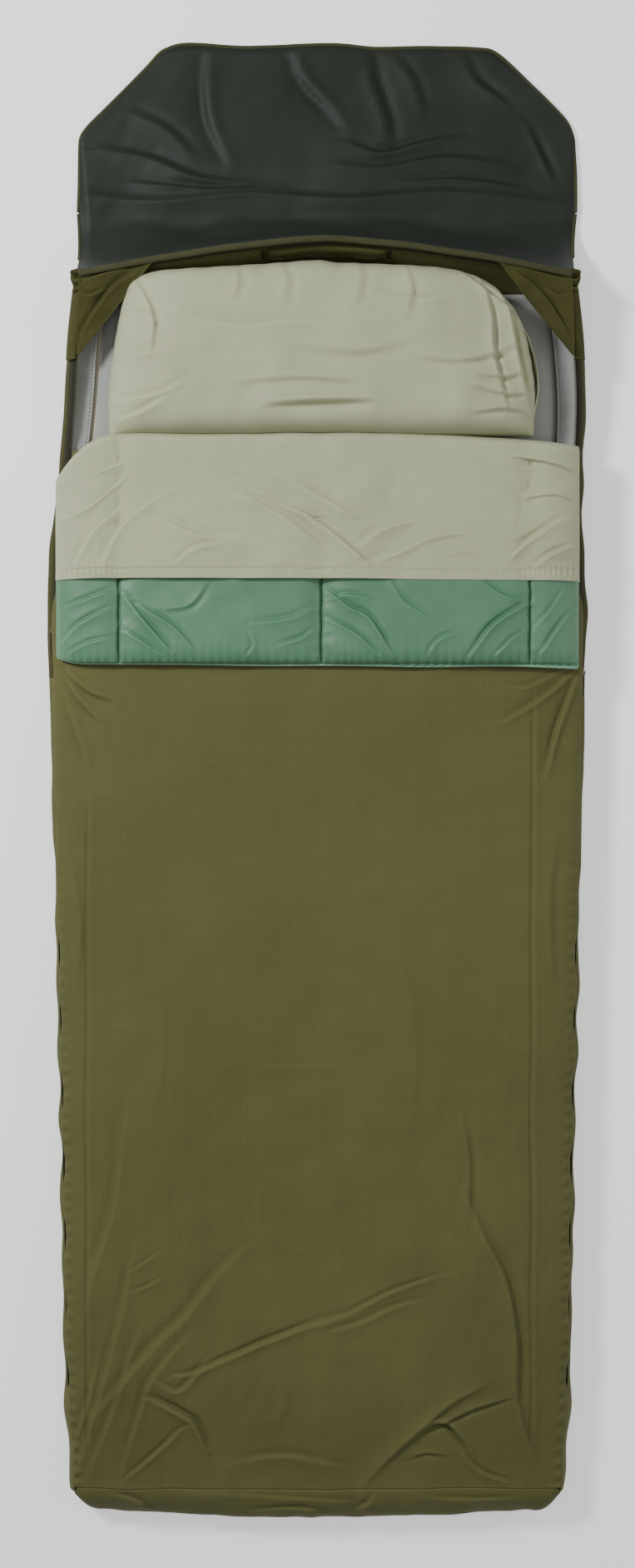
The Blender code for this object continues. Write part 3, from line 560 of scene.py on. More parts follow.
COVER_FOLDS = [
    # path, width, height, depth of the valley beside it
    ([(-0.223, -0.931), (-0.190, -0.925), (-0.125, -0.896), (-0.054, -0.867), (0.037, -0.834)],
     0.0055, 0.0052, 0.9),
    ([(-0.010, -0.855), (0.037, -0.838), (0.115, -0.799), (0.193, -0.773)], 0.0042, 0.0032, 0.9),
    ([(0.020, -0.862), (0.070, -0.846), (0.115, -0.825), (0.160, -0.812)], 0.0050, 0.0026, 0.8),
    ([(-0.350, -1.000), (-0.255, -0.890), (-0.203, -0.838), (-0.158, -0.780), (-0.106, -0.728)],
     0.0106, 0.0033, 0.9),
    ([(-0.366, -0.864), (-0.346, -0.773), (-0.314, -0.669), (-0.300, -0.560), (-0.294, -0.500)],
     0.0106, 0.0030, 0.7),
    ([(-0.379, -1.098), (-0.333, -0.949), (-0.301, -0.825), (-0.281, -0.721)], 0.0094, 0.0032, 0.8),
    ([(-0.360, -1.100), (-0.316, -0.985), (-0.290, -0.900), (-0.268, -0.842)], 0.0081, 0.0024, 0.8),
    ([(-0.307, -1.092), (-0.275, -0.990), (-0.255, -0.935), (-0.197, -0.864)], 0.0075, 0.0027, 0.8),
    ([(-0.385, -1.060), (-0.352, -0.960), (-0.338, -0.880)], 0.0075, 0.0024, 0.8),
    ([(-0.288, -0.799), (-0.265, -0.790), (-0.242, -0.776)], 0.0032, 0.0016, 0.8),
    ([(-0.296, -0.770), (-0.262, -0.748), (-0.240, -0.735)], 0.0035, 0.0014, 0.8),
    ([(-0.262, -0.966), (-0.236, -0.979), (-0.210, -0.993), (-0.192, -1.008), (-0.172, -1.052)],
     0.0062, 0.0078, 1.0),
    ([(-0.250, -0.940), (-0.215, -0.955), (-0.170, -0.905)], 0.0060, 0.0040, 0.7),
    ([(-0.301, -1.098), (-0.242, -1.046), (-0.215, -1.018), (-0.200, -1.010)], 0.0048, 0.0036, 0.8),
    ([(0.262, -0.940), (0.206, -0.970), (0.154, -1.016), (0.102, -1.068), (0.070, -1.108)],
     0.0068, 0.0080, -0.1),
    ([(0.300, -0.962), (0.245, -0.978), (0.215, -0.992), (0.175, -1.012)], 0.0050, 0.0042, 0.9),
    ([(0.168, -1.020), (0.184, -1.008), (0.205, -1.012), (0.232, -1.046)], 0.0056, -0.0078, 0.7),
    ([(0.222, -1.046), (0.240, -1.072), (0.262, -1.090), (0.300, -1.104)], 0.0050, 0.0040, 0.8),
    ([(0.205, -1.055), (0.170, -1.050), (0.140, -1.060)], 0.0050, 0.0030, 0.7),
    ([(0.226, -0.640), (0.258, -0.715), (0.290, -0.780), (0.306, -0.864), (0.310, -0.960)],
     0.0100, 0.0058, 0.9),
    ([(0.222, -0.520), (0.234, -0.600), (0.232, -0.690)], 0.0090, 0.0034, 0.7),
    ([(0.310, -0.860), (0.306, -0.940), (0.322, -1.020), (0.352, -1.096)], 0.0090, 0.0038, 0.7),
    ([(-0.150, -0.440), (-0.060, -0.448), (0.063, -0.444)], 0.0055, 0.0013, 0.6),
    ([(-0.067, -0.925), (-0.054, -0.968), (-0.064, -1.010)], 0.0080, 0.0022, 0.6),
    ([(-0.130, -1.070), (-0.050, -1.060), (0.040, -1.078)], 0.0080, 0.0024, 0.7),
    ([(-0.400, 0.172), (-0.382, 0.150), (-0.352, 0.128), (-0.318, 0.118)], 0.0065, -0.0050, 0.8),
    ([(-0.398, 0.156), (-0.376, 0.120), (-0.340, 0.082)], 0.0070, -0.0042, 0.8),
    ([(-0.402, 0.130), (-0.384, 0.080), (-0.362, 0.010)], 0.0080, -0.0036, 0.7),
    ([(0.404, 0.168), (0.388, 0.130), (0.366, 0.070), (0.352, 0.010)], 0.0070, -0.0062, 0.9),
    ([(0.398, 0.174), (0.362, 0.142), (0.318, 0.112), (0.285, 0.094)], 0.0068, -0.0044, 0.8),
    ([(0.372, 0.172), (0.330, 0.150), (0.296, 0.150)], 0.0060, -0.0032, 0.7),
    ([(0.040, 0.020), (0.052, -0.020), (0.070, -0.060)], 0.0045, 0.0012, 0.8),
    ([(0.052, -0.058), (0.044, -0.085), (0.048, -0.110)], 0.0040, 0.0009, 0.8),
    ([(-0.090, 0.050), (-0.060, 0.028), (-0.030, 0.018)], 0.0045, 0.0009, 0.8),
    ([(-0.385, -0.130), (-0.372, -0.220), (-0.376, -0.330)], 0.0090, 0.0024, 0.6),
    ([(0.372, -0.080), (0.360, -0.190), (0.364, -0.330)], 0.0110, 0.0026, 0.6),
    ([(-0.250, -0.300), (-0.242, -0.420), (-0.252, -0.520)], 0.0120, 0.0014, 0.5),
    ([(0.130, -0.280), (0.150, -0.400), (0.142, -0.540)], 0.0130, 0.0015, 0.5),
]
# Pressed lines that run along the cover: x, both ends in y, depth
PRESSED = [(-0.358, -1.070, -0.080, 0.0012), (0.336, -1.060, 0.090, 0.0015)]


def pressed_wander(y):
    return 0.0022 * noise(y, y * 0, 7, 21)


def cover_height(x, y):
    """The canvas over the quilt: the crown, soft rolls, pressed lines and the foot's folds."""
    z = crown(x, y)
    inner = 1 - smooth((np.abs(x) / zip_line(y) - 0.88) / 0.12)
    footness = smooth((-0.25 - y) / 0.6)
    z = z + inner * 0.0026 * noise(x, y, 2.6, 3)
    z = z + inner * (0.0005 + 0.0016 * footness) * ripples(x, y, 62, 0.050, 4, 11)
    z = z + inner * (0.0004 + 0.0016 * footness) * ripples(x, y, 100, 0.036, 5, 12)
    z = z + inner * 0.0005 * ripples(x, y, 20, 0.030, 3, 13)
    z = z + inner * (0.00012 + 0.00025 * footness) * ripples(x, y, 75, 0.011, 4, 14)
    z = z + creases(x, y, COVER_FOLDS)
    for at, low, high, depth in PRESSED:
        span = smooth((y - low) / 0.06) * (1 - smooth((y - high) / 0.08))
        line = at + pressed_wander(y)
        z = z + span * depth * (0.7 * np.exp(-((x - line - 0.004) / 0.0045) ** 2)
                                - np.exp(-((x - line + 0.003) / 0.0030) ** 2))
    near_cuff = np.exp(-((y - CUFF_LOW[1] + 0.004) / 0.022) ** 2)
    return z - 0.0022 * near_cuff * (1 + 0.8 * noise(x, y, 22, 5))


def scallop(y):
    """In-and-out gathering of the side edges below the middle."""
    amount = smooth((-0.10 - y) / 0.25)
    return amount * (0.0022 * np.sin(y * 2 * math.pi / 0.112 + 0.8) + 0.0016 * noise(y, y * 0 + 2, 9, 31))


def top_cover():
    y = np.concatenate([np.linspace(CREASE_Y, -0.45, 320), np.linspace(-0.446, -0.02, 90)[1:],
                        np.linspace(-0.016, CUFF_LOW[1] + 0.02, 74),
                        np.linspace(CUFF_LOW[1] + 0.03, FOLD_Y - 0.014, 20)])
    s = eased(320)
    yy = np.repeat(y[:, None], len(s), axis=1)
    edge = zip_line(yy) - 0.012 * smooth((yy - WIDEST_Y) / 0.06)
    xx = s[None, :] * edge
    zz = cover_height(xx, yy)
    side = smooth((np.abs(s)[None, :] - 0.93) / 0.07)
    xx = xx + np.sign(xx) * side * scallop(yy)
    pucker = 0.0013 * np.sin(yy * 2 * math.pi / 0.021 + 2 * noise(yy, xx, 12, 41))
    zz = zz + pucker * smooth((np.abs(s)[None, :] - 0.955) / 0.03) * smooth((-0.02 - yy) / 0.2)
    yy = yy + crease_wave(xx) * smooth((CREASE_Y + 0.05 - yy) / 0.05)
    cover = cloth("cover_canvas", xyz(xx, yy, zz), CANVAS, "tub", ["top_cover"])
    for number, (at, low, high, depth) in enumerate(PRESSED):
        path_y = np.linspace(low + 0.02, min(high, CUFF_LOW[1] - 0.02), 120)
        path_x = at - 0.0055 + pressed_wander(path_y)
        path = xyz(path_x, path_y, cover_height(path_x, path_y) + 0.0008)
        stitches(f"cover_seam_stitches_{number}", path, "tub", spacing=0.0050, length=0.0034)


def quilt_under_cover():
    """The quilt's body, quilted in panels, a little below the canvas that hides it."""
    y = np.linspace(-1.085, FOLD_Y - 0.020, 90)
    s = eased(70, 0.8)
    yy, ss = np.meshgrid(y, s, indexing="ij")
    x = ss * (zip_line(yy) - 0.024)
    ends = np.clip((yy + 1.089) / 0.05, 0, 1) ** 0.5
    puff = 0.0030 * np.exp(-(((x + 0.6) % 0.32 - 0.16) / 0.012) ** 2)
    full = np.clip(1 - np.abs(ss) ** 10, 0, 1) ** 0.5 * ends
    top = 0.0520 + (crown(x, yy) - 0.0110 - puff - 0.0520) * full
    quilt = closed_pad("quilt_under_cover", xyz(x, yy, 0.0515),
                       xyz(x, yy, np.maximum(top, 0.0516)), NYLON, "tub",
                       ["quilt_body"])
    inset = 0.044
    rows = [xyz(s * (half_width(v) - inset), v, PAD_Z + 0.0022)
            for v in np.linspace(-1.08, FOLD_Y - 0.06, 40)]
    sheet = cloth("sheet_under_cover", rows, COTTON, "tub", ["sheet_body"], 0.0008)


FOOT_FOLDS = [
    # path, width, height, depth of the valley beside it
    ([(-0.200, -1.118), (-0.100, -1.122), (-0.020, -1.128), (0.060, -1.134)], 0.0050, 0.0050, 0.8),
    ([(0.060, -1.150), (0.080, -1.135), (0.092, -1.115)], 0.0050, 0.0060, 0.8),
    ([(-0.330, -1.118), (-0.290, -1.130), (-0.260, -1.150)], 0.0060, 0.0050, 0.8),
    ([(0.160, -1.124), (0.240, -1.130), (0.320, -1.126)], 0.0055, 0.0040, 0.8),
    ([(-0.120, -1.152), (-0.040, -1.146), (0.030, -1.156)], 0.0055, 0.0036, 0.8),
]


def foot_outline(height):
    """Plan of the foot wall at a height from 0 at the ground to 1 at the cover's crease."""
    half = float(half_width(CREASE_Y)) - 0.0090
    turn = np.linspace(0, math.pi / 2, 24)
    radius = 0.040
    x = half - radius * (1 - np.cos(turn))
    y = CREASE_Y - 0.049 * np.sin(turn)
    back = np.linspace(CREASE_Y + 0.024, CREASE_Y, 8)[:-1]
    flat = np.linspace(-x[-1], x[-1], 170)[1:-1]
    bow = 1 - (flat / flat[0]) ** 2
    flat_y = y[-1] - 0.0125 * bow - 0.0016 * noise(flat, flat * 0, 9, 57)
    xs = np.concatenate([np.full(7, -half), -x, flat, x[::-1], np.full(7, half)])
    ys = np.concatenate([back, y, flat_y, y[::-1], back[::-1]])
    inwards = np.clip(height, 0, 1) ** 1.6
    crease_y = CREASE_Y - 0.0005 + crease_wave(xs)
    ys = ys + (crease_y - ys) * inwards * smooth((CREASE_Y + 0.004 - ys) / 0.03)
    return xs, ys


def crease_wave(x):
    """How far the foot's fold strays from a straight line."""
    return 0.0045 * noise(x, x * 0 + 4, 5, 58) + 0.0015 * noise(x, x * 0 + 4, 16, 59)


def foot_wall():
    rows = []
    for up in np.linspace(0, 1, 36):
        x, y = foot_outline(up)
        edge_x = np.clip(np.abs(x), 0, float(zip_line(CREASE_Y)) * 0.999)
        top = cover_height(np.sign(x) * edge_x, np.full_like(x, CREASE_Y)) - 0.0004
        top = np.maximum(top, EDGE_Z)
        z = GROUND_GAP + (top - GROUND_GAP) * np.sin(up * math.pi / 2) ** 0.9
        sag = np.sin(up * math.pi)
        y = y - sag * (0.0010 + 0.0034 * noise(x, z, 12, 51) + 0.0022 * ripples(x, z, 78, 0.024, 3, 52))
        z = z + 0.0030 * sag * noise(x, y, 14, 54) + 0.0016 * sag * ripples(x, y, 15, 0.016, 3, 55)
        z = z + sag * creases(x, y, FOOT_FOLDS)
        rows.append(xyz(x, np.maximum(y, FOOT_Y - 0.010), np.maximum(z, 0.0010)))
    panel = cloth("foot_panel", rows, CANVAS, "tub", ["foot_wall"])
    x, y = foot_outline(0.34)
    tuck = 0.0035 * (np.abs(x) < 0.33) - 0.0012 * (np.abs(x) > 0.35)
    path = xyz(x * 1.004, y + tuck, 0.026)[4:-4]
    tube("foot_piping_cord", path, 0.0019, TAPE, "tub", ["foot_piping"])
    x, y = foot_outline(0.93)
    seam_z = cover_height(np.clip(x, -0.385, 0.385), np.full_like(x, CREASE_Y)) - 0.0020
    inside = np.abs(x) < 0.36
    stitches("foot_piping_stitches", xyz(x, y, seam_z + 0.0012)[inside], "tub")


def wall_points(y, sign):
    rows = []
    for up in np.linspace(0, 1, 20):
        bulge = 0.0085 * np.sin(up * math.pi) ** 0.8
        x = zip_line(y) + bulge + 0.002 * (1 - up) + 0.004 * up * smooth((y - 0.10) / 0.2)
        x = x + scallop(y) * (0.4 + 0.6 * up)
        x = x + 0.0026 * np.sin(up * math.pi) * ripples(y, y * 0 + up * 0.05, 0, 0.05, 1, 61 + sign)
        z = GROUND_GAP + (wall_top(y) - GROUND_GAP) * up
        rows.append(xyz(sign * x, y, z))
    return rows


def side_wall(side, sign):
    y = np.concatenate([np.linspace(-1.118, -0.15, 240), np.linspace(-0.145, WALL_HEAD_Y, 70)])
    wall = cloth(f"{side}_wall_canvas", wall_points(y, sign), CANVAS, "tub", [f"{side}_side_wall"])
    head_y = np.linspace(WALL_HEAD_Y, WALL_END_Y, 140)
    # From here to the head the wall takes the canvas with painted shade
    wall = cloth(f"{side}_wall_head_canvas", wall_points(head_y, sign), CANVAS_SHADED, "tub")
    y = np.concatenate([y, head_y[1:]])
    edge_z = wall_top(y) - 0.0045
    seam_x = zip_line(y) + 0.0050 + scallop(y) + 0.004 * smooth((y - 0.10) / 0.2)
    seam = xyz(sign * seam_x, y, edge_z)[y > ZIP_END_Y]
    stitches(f"{side}_wall_stitches", seam, "tub")


def zip_pieces(side, sign):
    """Both zip halves: meshed below the slider, parted above it, with separate coils."""
    slider_y = float(np.mean([corner[1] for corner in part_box(f"{side}_slider")]))
    y = np.concatenate([np.linspace(ZIP_END_Y, slider_y, 170), np.linspace(slider_y, 0.765, 90)[1:]])
    opened = smooth((y - slider_y) / 0.05)
    low_z = wall_top(y)
    base = zip_line(y) + 0.0006 + 0.0048 * opened
    top = zip_line(y) - 0.0050 * opened
    tape_low = xyz(sign * base, y, low_z - 0.0020)
    tape_top = xyz(sign * top, y, low_z + 0.0080 - 0.0010 * opened)
    middle = (tape_top + tape_low) / 2 + np.array((sign * 0.0010, 0, 0.0008))
    cloth(f"{side}_wall_tape", [tape_low, middle, tape_top], TAPE, "tub",
          [f"{side}_wall_zip_tape"], 0.0010)
    path = xyz(sign * (top - 0.0016 * opened), y, low_z + 0.0100 - 0.0015 * opened)
    coil(f"{side}_wall_coil", path, (0.0019, 0.0034, 0.0046), [f"{side}_wall_zip_coil"])
    cover_y = np.concatenate([np.linspace(ZIP_END_Y, slider_y, 170),
                              np.linspace(slider_y, FOLD_Y - 0.012, 60)[1:]])
    inset = 0.012 * smooth((cover_y - WIDEST_Y) / 0.06)
    line = zip_line(cover_y) - inset
    high = EDGE_Z + 0.0010
    tape_low = xyz(sign * line, cover_y, high - 0.0085)
    tape_top = xyz(sign * line, cover_y, high)
    cloth(f"{side}_cover_tape", [tape_low, (tape_low + tape_top) / 2, tape_top], TAPE, "tub",
          [f"{side}_cover_zip_tape"], 0.0010)
    path = xyz(sign * line, cover_y + 0.0015, high - 0.0098)
    coil(f"{side}_cover_coil", path, (0.0019, 0.0034, 0.0046), [f"{side}_cover_zip_coil"])


def cuff_zip(side, sign):
    """The zip's upper end on the turned-down canvas, along the cuff's edge."""
    y = np.linspace(CUFF_LOW[1] + 0.022, FOLD_Y - 0.100, 60)
    x = np.full_like(y, sign * (CUFF_HALF - 0.0060))
    z = np.full_like(y, CUFF_LOW[2] - 0.0022)
    rows = [xyz(x + sign * out, y, z - down)
            for out, down in ((0, 0), (0.003, 0.0010), (0.006, 0.003))]
    cloth(f"{side}_cuff_tape", rows, TAPE, "cuff", [f"{side}_cuff_zip_tape"], 0.0009,
          leaning=False)
    coil(f"{side}_cuff_coil", xyz(x + sign * 0.0065, y, z - 0.0036), (0.0019, 0.0030, 0.0030),
         [f"{side}_cuff_zip_coil"], "cuff")


top_cover()
quilt_under_cover()
foot_wall()
for side, sign in SIDES.items():
    side_wall(side, sign)
    zip_pieces(side, sign)


# ---------------------------------------------------------------- head end

def head_wall_point(x, up, inward=0.0):
    """Where the head wall is at x, from the ground (0) to the rim (1), and inward of its face."""
    top = rim_z(x) - RIM_R
    y = rim_y(x) - 0.035 * (1 - up) - inward * 0.955
    z = 0.0024 + (top - 0.0024) * up + inward * 0.295
    return y, z


def head_wall():
    x = np.linspace(-0.368, 0.368, 150)
    rows = []
    for up in np.linspace(0, 1, 30):
        wrinkle = 0.0014 * ripples(x, x * 0 + up * 0.1, 90, 0.05, 2, 71) * math.sin(up * math.pi)
        y, z = head_wall_point(x, up, wrinkle)
        y = y - 0.004 * smooth((np.abs(x) - 0.34) / 0.03)
        rows.append(xyz(x, y, z))
    wall = cloth("head_wall_canvas", rows, CANVAS, "tub", ["head_wall"])
    x = np.linspace(-0.330, 0.330, 90)
    rows = []
    for up in (0.93, 0.96, 0.99):
        y, z = head_wall_point(x, up, 0.0016)
        rows.append(xyz(x, y, z))
    cloth("head_wall_tape", rows, BROWN_TAPE, "tub", thickness=0.0009)
    y, z = head_wall_point(x, 0.915, 0.0026)
    coil("head_wall_coil", xyz(x, y, z), (0.0022, 0.0030, 0.0026), spacing=0.0034)


def wall_corner(side, sign):
    """Closes the corner between the head wall and the side wall."""
    up = np.linspace(0, 1, 20)
    wall_x = 0.3675
    head_y, head_z = head_wall_point(wall_x, up)
    head = xyz(sign * wall_x, head_y - 0.004, head_z)
    wall = np.array([row[-1] for row in wall_points(np.array([0.770, 0.776]), sign)])
    rows = []
    for t in np.linspace(0, 1, 14):
        round_out = 0.0045 * math.sin(t * math.pi)
        rows.append(head + (wall - head) * t + (sign * round_out, round_out, 0))
    # Painted shade: the corner takes the darkened canvas
    corner = cloth(f"{side}_wall_corner_canvas", rows, CANVAS_SHADED, "tub")


def rim():
    x = np.linspace(-0.370, 0.370, 160)
    y = rim_y(x) + 0.0008 * noise(x, x * 0, 18, 81)
    z = rim_z(x) + 0.0010 * noise(x, x * 0 + 1, 14, 82)
    path = xyz(x, y, z)
    tube("rim_tape", path, 0.0052, BINDING, "tub", ["rim_binding"], flat=0.72, sides=14)
    stitches("rim_stitches", path + np.array((0, -0.0026, 0.0034)), "tub")


def head_tab():
    """Padded tab under the rim, with a slit at each end where it is sewn down."""
    s = eased(46, 0.8)
    t = eased(18, 0.8)
    ss, tt = np.meshgrid(s, t)
    middle = (TAB_LOW[0] + TAB_HIGH[0]) / 2 + TAB_SHIFT
    half = (TAB_HIGH[0] - TAB_LOW[0]) / 2
    x = middle + ss * half
    round_off = np.sqrt(np.clip(1 - np.abs(ss) ** 14, 0, 1)) * np.sqrt(np.clip(1 - np.abs(tt) ** 5, 0, 1))
    up = 0.765 + 0.125 * tt * (1 - 0.12 * np.abs(ss) ** 12)
    swell = 0.0075 * round_off * (1 + 0.15 * noise(x, tt * 0.05, 40, 91))
    y_low, z_low = head_wall_point(x, up, 0.0012)
    y_high, z_high = head_wall_point(x, up, 0.0012 + swell)
    # Painted shade: the tab takes the darkened canvas
    tab = closed_pad("head_tab_pad", xyz(x, y_low, z_low),
                     xyz(x, y_high, z_high), CANVAS_SHADED, "tub", ["head_tab"])
    edge_x = middle + np.linspace(-0.95, 0.95, 60) * half
    stitches("head_tab_stitches", xyz(edge_x, *head_wall_point(edge_x, 0.855, 0.0072)), "tub")
    for end, sign in SIDES.items():
        slit_x = middle + sign * (half + 0.005)
        slit = xyz(slit_x, *head_wall_point(slit_x, np.array((0.68, 0.74, 0.80, 0.86)), 0.0018))
        tube(f"head_tab_slit_{end}", smooth_path(slit), 0.0022, TAPE, "tub", flat=0.6)


def smooth_path(points):
    """More points along a curve through a few points in space."""
    flat = curved([p[:2] for p in points], 4)
    rise = curved([(i, p[2]) for i, p in enumerate(points)], 4)
    return [(x, y, z) for (x, y), (_, z) in zip(flat, rise)]


GUSSET_FOLDS = [
    # path, width, height, depth of the valley beside it
    ([(0.280, 0.785), (0.316, 0.762), (0.345, 0.725), (0.366, 0.690)], 0.0060, 0.0050, 0.9),
    ([(0.300, 0.790), (0.335, 0.780), (0.362, 0.772)], 0.0050, 0.0040, 0.9),
    ([(0.330, 0.760), (0.350, 0.750), (0.368, 0.752)], 0.0045, 0.0036, 0.9),
]


def gusset(side, sign):
    """Canvas triangle across the corner, slack towards its turned and stitched inner edge."""
    rim_end = np.array((0.258, float(rim_y(0.258)) - 0.0030, float(rim_z(0.258)) - 0.0005))
    ear = np.array((0.3710, 0.7760, 0.0935))
    tip = np.array((0.3730, 0.6600, 0.0815))
    rows = []
    for a in np.linspace(0, 1, 80):
        b = np.linspace(0, 1, 70)[:, None]
        inner = rim_end * (1 - a) + tip * a
        outer = ear * (1 - a) + (tip + (0.0035, 0, 0)) * a
        line = inner * (1 - b) + outer * b
        across = b[:, 0]
        slack = (1 - 0.75 * across) * math.sin(a * math.pi) + 0.35 * np.sin(across * math.pi) * (1 - a)
        x, y = line[:, 0], line[:, 1]
        loose = np.sin(across * math.pi) ** 0.5
        line[:, 2] -= 0.0085 * slack
        line[:, 2] += 0.0034 * ripples(x, y * sign, 64, 0.030, 3, 95 + sign) * loose
        line[:, 2] += 0.0016 * ripples(x, y * sign, 20, 0.018, 3, 97 + sign) * loose
        line[:, 2] += 0.0016 * np.exp(-(across / 0.05) ** 2)
        line[:, 2] += creases(x, y, GUSSET_FOLDS)
        rows.append(line * (sign, 1, 1))
    # Painted shade: the gusset takes the darkened canvas
    corner = cloth(f"{side}_gusset_canvas", rows, CANVAS_SHADED, "tub", [f"{side}_corner_gusset"])
    at = np.linspace(0, 1, 44)[2:-3, None]
    inner = rim_end * (1 - at) + tip * at + (0.0052, 0.0036, 0.0022)
    inner[:, 2] -= 0.0085 * np.sin(at[:, 0] * math.pi)
    stitches(f"{side}_gusset_stitches", inner * (sign, 1, 1), "tub")


def side_band(side, sign):
    """Canvas facing from the ear down over the zip's upper end."""
    y = np.linspace(0.655, 0.778, 40)
    s = np.linspace(0, 1, 9)
    yy, ss = np.meshgrid(y, s, indexing="ij")
    x = zip_line(yy) - 0.0050 + 0.0150 * ss
    lift = 0.0140 + 0.0062 * smooth((yy - 0.655) / 0.10)
    z = wall_top(yy) + lift - 0.0100 * ss ** 2 + 0.0008 * ripples(yy, ss * 0.02, 90, 0.02, 2, 99)
    # Painted shade: the band takes the darkened canvas
    band = cloth(f"{side}_hood_band", xyz(sign * x, yy, z), CANVAS_SHADED, "tub")


def ear(side, sign):
    """Puckered fold of canvas at the end of the rim."""
    t = np.linspace(0, 1, 90)
    w = np.linspace(-1, 1, 20)
    tt, ww = np.meshgrid(t, w, indexing="ij")
    zigzag = np.sin(tt * 2 * math.pi * 2.6 + 1.2 * ww + 1.5 * noise(tt, ww, 3, 105))
    x = EAR_X + 0.0125 * ww * (1 - 0.25 * tt) + 0.0026 * noise(tt, ww, 5, 103)
    y = 0.7915 - 0.0340 * tt - 0.0040 * ww ** 2
    z = 0.0905 + 0.0052 * zigzag * (1 - 0.55 * ww ** 2) - 0.0050 * ww ** 2 - 0.005 * tt
    z = z + 0.0014 * noise(tt, ww, 6, 104)
    # Painted shade: the ear takes the darkened canvas
    fold = cloth(f"{side}_ear_fold", xyz(sign * x, y, z), CANVAS_SHADED, "tub",
                 [f"{side}_corner_ear"], thickness=0.0016)


def lining(side, sign):
    """Pale lining between the zip and the mattress, with creases where it is gathered."""
    y = np.linspace(0.165, 0.772, 190)
    s = np.linspace(0, 1, 26)
    yy, ss = np.meshgrid(y, s, indexing="ij")
    outer_x = zip_line(yy) - 0.0040
    inner_x = half_width(yy) - 0.0430        # over the mattress's edge
    x = inner_x + (outer_x - inner_x) * ss
    outer_z = wall_top(yy) + 0.0020
    z = 0.0440 + (outer_z - 0.0440) * ss ** 1.4 - 0.0035 * np.sin(ss * math.pi)
    gather = ripples(x, yy, 12 * sign, 0.017, 3, 110 + sign)
    gather = gather + 0.6 * ripples(x, yy, -25 * sign, 0.030, 3, 112 + sign)
    z = z + 0.0022 * gather * np.sin(ss * math.pi) ** 0.6
    strip = cloth(f"{side}_lining_cloth", xyz(sign * x, yy, z), LINING, "tub",
                  [f"{side}_lining"], thickness=0.0008)
    seam_y = np.linspace(0.30, 0.74, 80)
    seam = xyz(sign * (half_width(seam_y) - 0.0385), seam_y, 0.0452)
    stitches(f"{side}_lining_stitches", seam, "tub", THREAD, 0.0060, 0.0036)


head_wall()
rim()
head_tab()
for side, sign in SIDES.items():
    wall_corner(side, sign)
    gusset(side, sign)
    side_band(side, sign)
    ear(side, sign)
    lining(side, sign)


# ---------------------------------------------------------------- mattress and pillow

def mattress():
    y = np.concatenate([np.linspace(PAD_LOW[1], 0.40, 40), np.linspace(0.41, PAD_HIGH[1] + 0.030, 90)])
    s = eased(90, 0.7)
    yy, ss = np.meshgrid(y, s, indexing="ij")
    x = ss * (half_width(yy) - PAD_INSET)
    z = PAD_Z - 0.022 * np.abs(ss) ** 30 + 0.0012 * noise(x, yy, 9, 121)
    z = z + 0.0006 * ripples(x, yy, 85, 0.03, 3, 122)
    z = z - 0.020 * smooth((yy - PAD_HIGH[1] - 0.005) / 0.024)
    top = cloth("mattress_top", xyz(x, yy, np.minimum(z, PAD_Z + 0.0008)), PAD_CLOTH, "tub",
                ["mattress_cover"], 0.0010)


PILLOW_FOLDS = [
    ([(0.272, 0.766), (0.292, 0.720), (0.304, 0.660), (0.318, 0.600), (0.334, 0.548)], 0.0062, 0.0080, 1.0),
    ([(0.248, 0.770), (0.264, 0.712), (0.268, 0.650), (0.290, 0.566)], 0.0060, 0.0036, 0.8),
    ([(0.220, 0.782), (0.256, 0.748), (0.292, 0.722), (0.312, 0.706)], 0.0052, 0.0042, 0.8),
    ([(0.314, 0.676), (0.270, 0.652), (0.215, 0.640), (0.150, 0.646)], 0.0062, 0.0030, 0.8),
    ([(0.322, 0.628), (0.285, 0.618), (0.240, 0.620)], 0.0056, 0.0030, 0.8),
    ([(0.326, 0.596), (0.285, 0.592), (0.235, 0.604)], 0.0056, 0.0030, 0.8),
    ([(0.330, 0.566), (0.290, 0.570), (0.240, 0.562)], 0.0056, 0.0026, 0.8),
    ([(-0.075, 0.566), (0.000, 0.571), (0.085, 0.572)], 0.0075, -0.0052, 0.6),
    ([(-0.120, 0.600), (-0.020, 0.606), (0.060, 0.600)], 0.0070, -0.0024, 0.6),
    ([(-0.290, 0.776), (-0.268, 0.742), (-0.252, 0.700), (-0.256, 0.650)], 0.0062, 0.0034, 0.8),
    ([(-0.300, 0.730), (-0.270, 0.710), (-0.235, 0.700)], 0.0062, 0.0026, 0.8),
    ([(-0.312, 0.655), (-0.265, 0.650), (-0.210, 0.660)], 0.0070, 0.0024, 0.7),
    ([(-0.316, 0.580), (-0.250, 0.584), (-0.200, 0.606)], 0.0066, 0.0028, 0.8),
    ([(-0.310, 0.550), (-0.270, 0.560), (-0.230, 0.580)], 0.0060, 0.0024, 0.8),
    ([(-0.060, 0.798), (-0.048, 0.762), (-0.052, 0.720)], 0.0066, 0.0026, 0.8),
    ([(-0.130, 0.796), (-0.122, 0.760), (-0.130, 0.730)], 0.0060, 0.0020, 0.8),
    ([(0.060, 0.800), (0.066, 0.765), (0.058, 0.720)], 0.0066, 0.0024, 0.8),
    ([(0.130, 0.796), (0.142, 0.752), (0.136, 0.705)], 0.0070, 0.0024, 0.8),
    ([(-0.200, 0.700), (-0.110, 0.688), (-0.030, 0.695), (0.050, 0.686)], 0.0100, 0.0022, 0.7),
    ([(-0.030, 0.652), (0.060, 0.642), (0.150, 0.660)], 0.0110, -0.0026, 0.5),
    ([(0.080, 0.740), (0.150, 0.728), (0.230, 0.738)], 0.0090, 0.0020, 0.7),
]


# The pillow's edge at its open end, from above its foot corner
PILLOW_END = [(0.341, 0.600), (0.334, 0.655), (0.322, 0.705), (0.302, 0.742)]


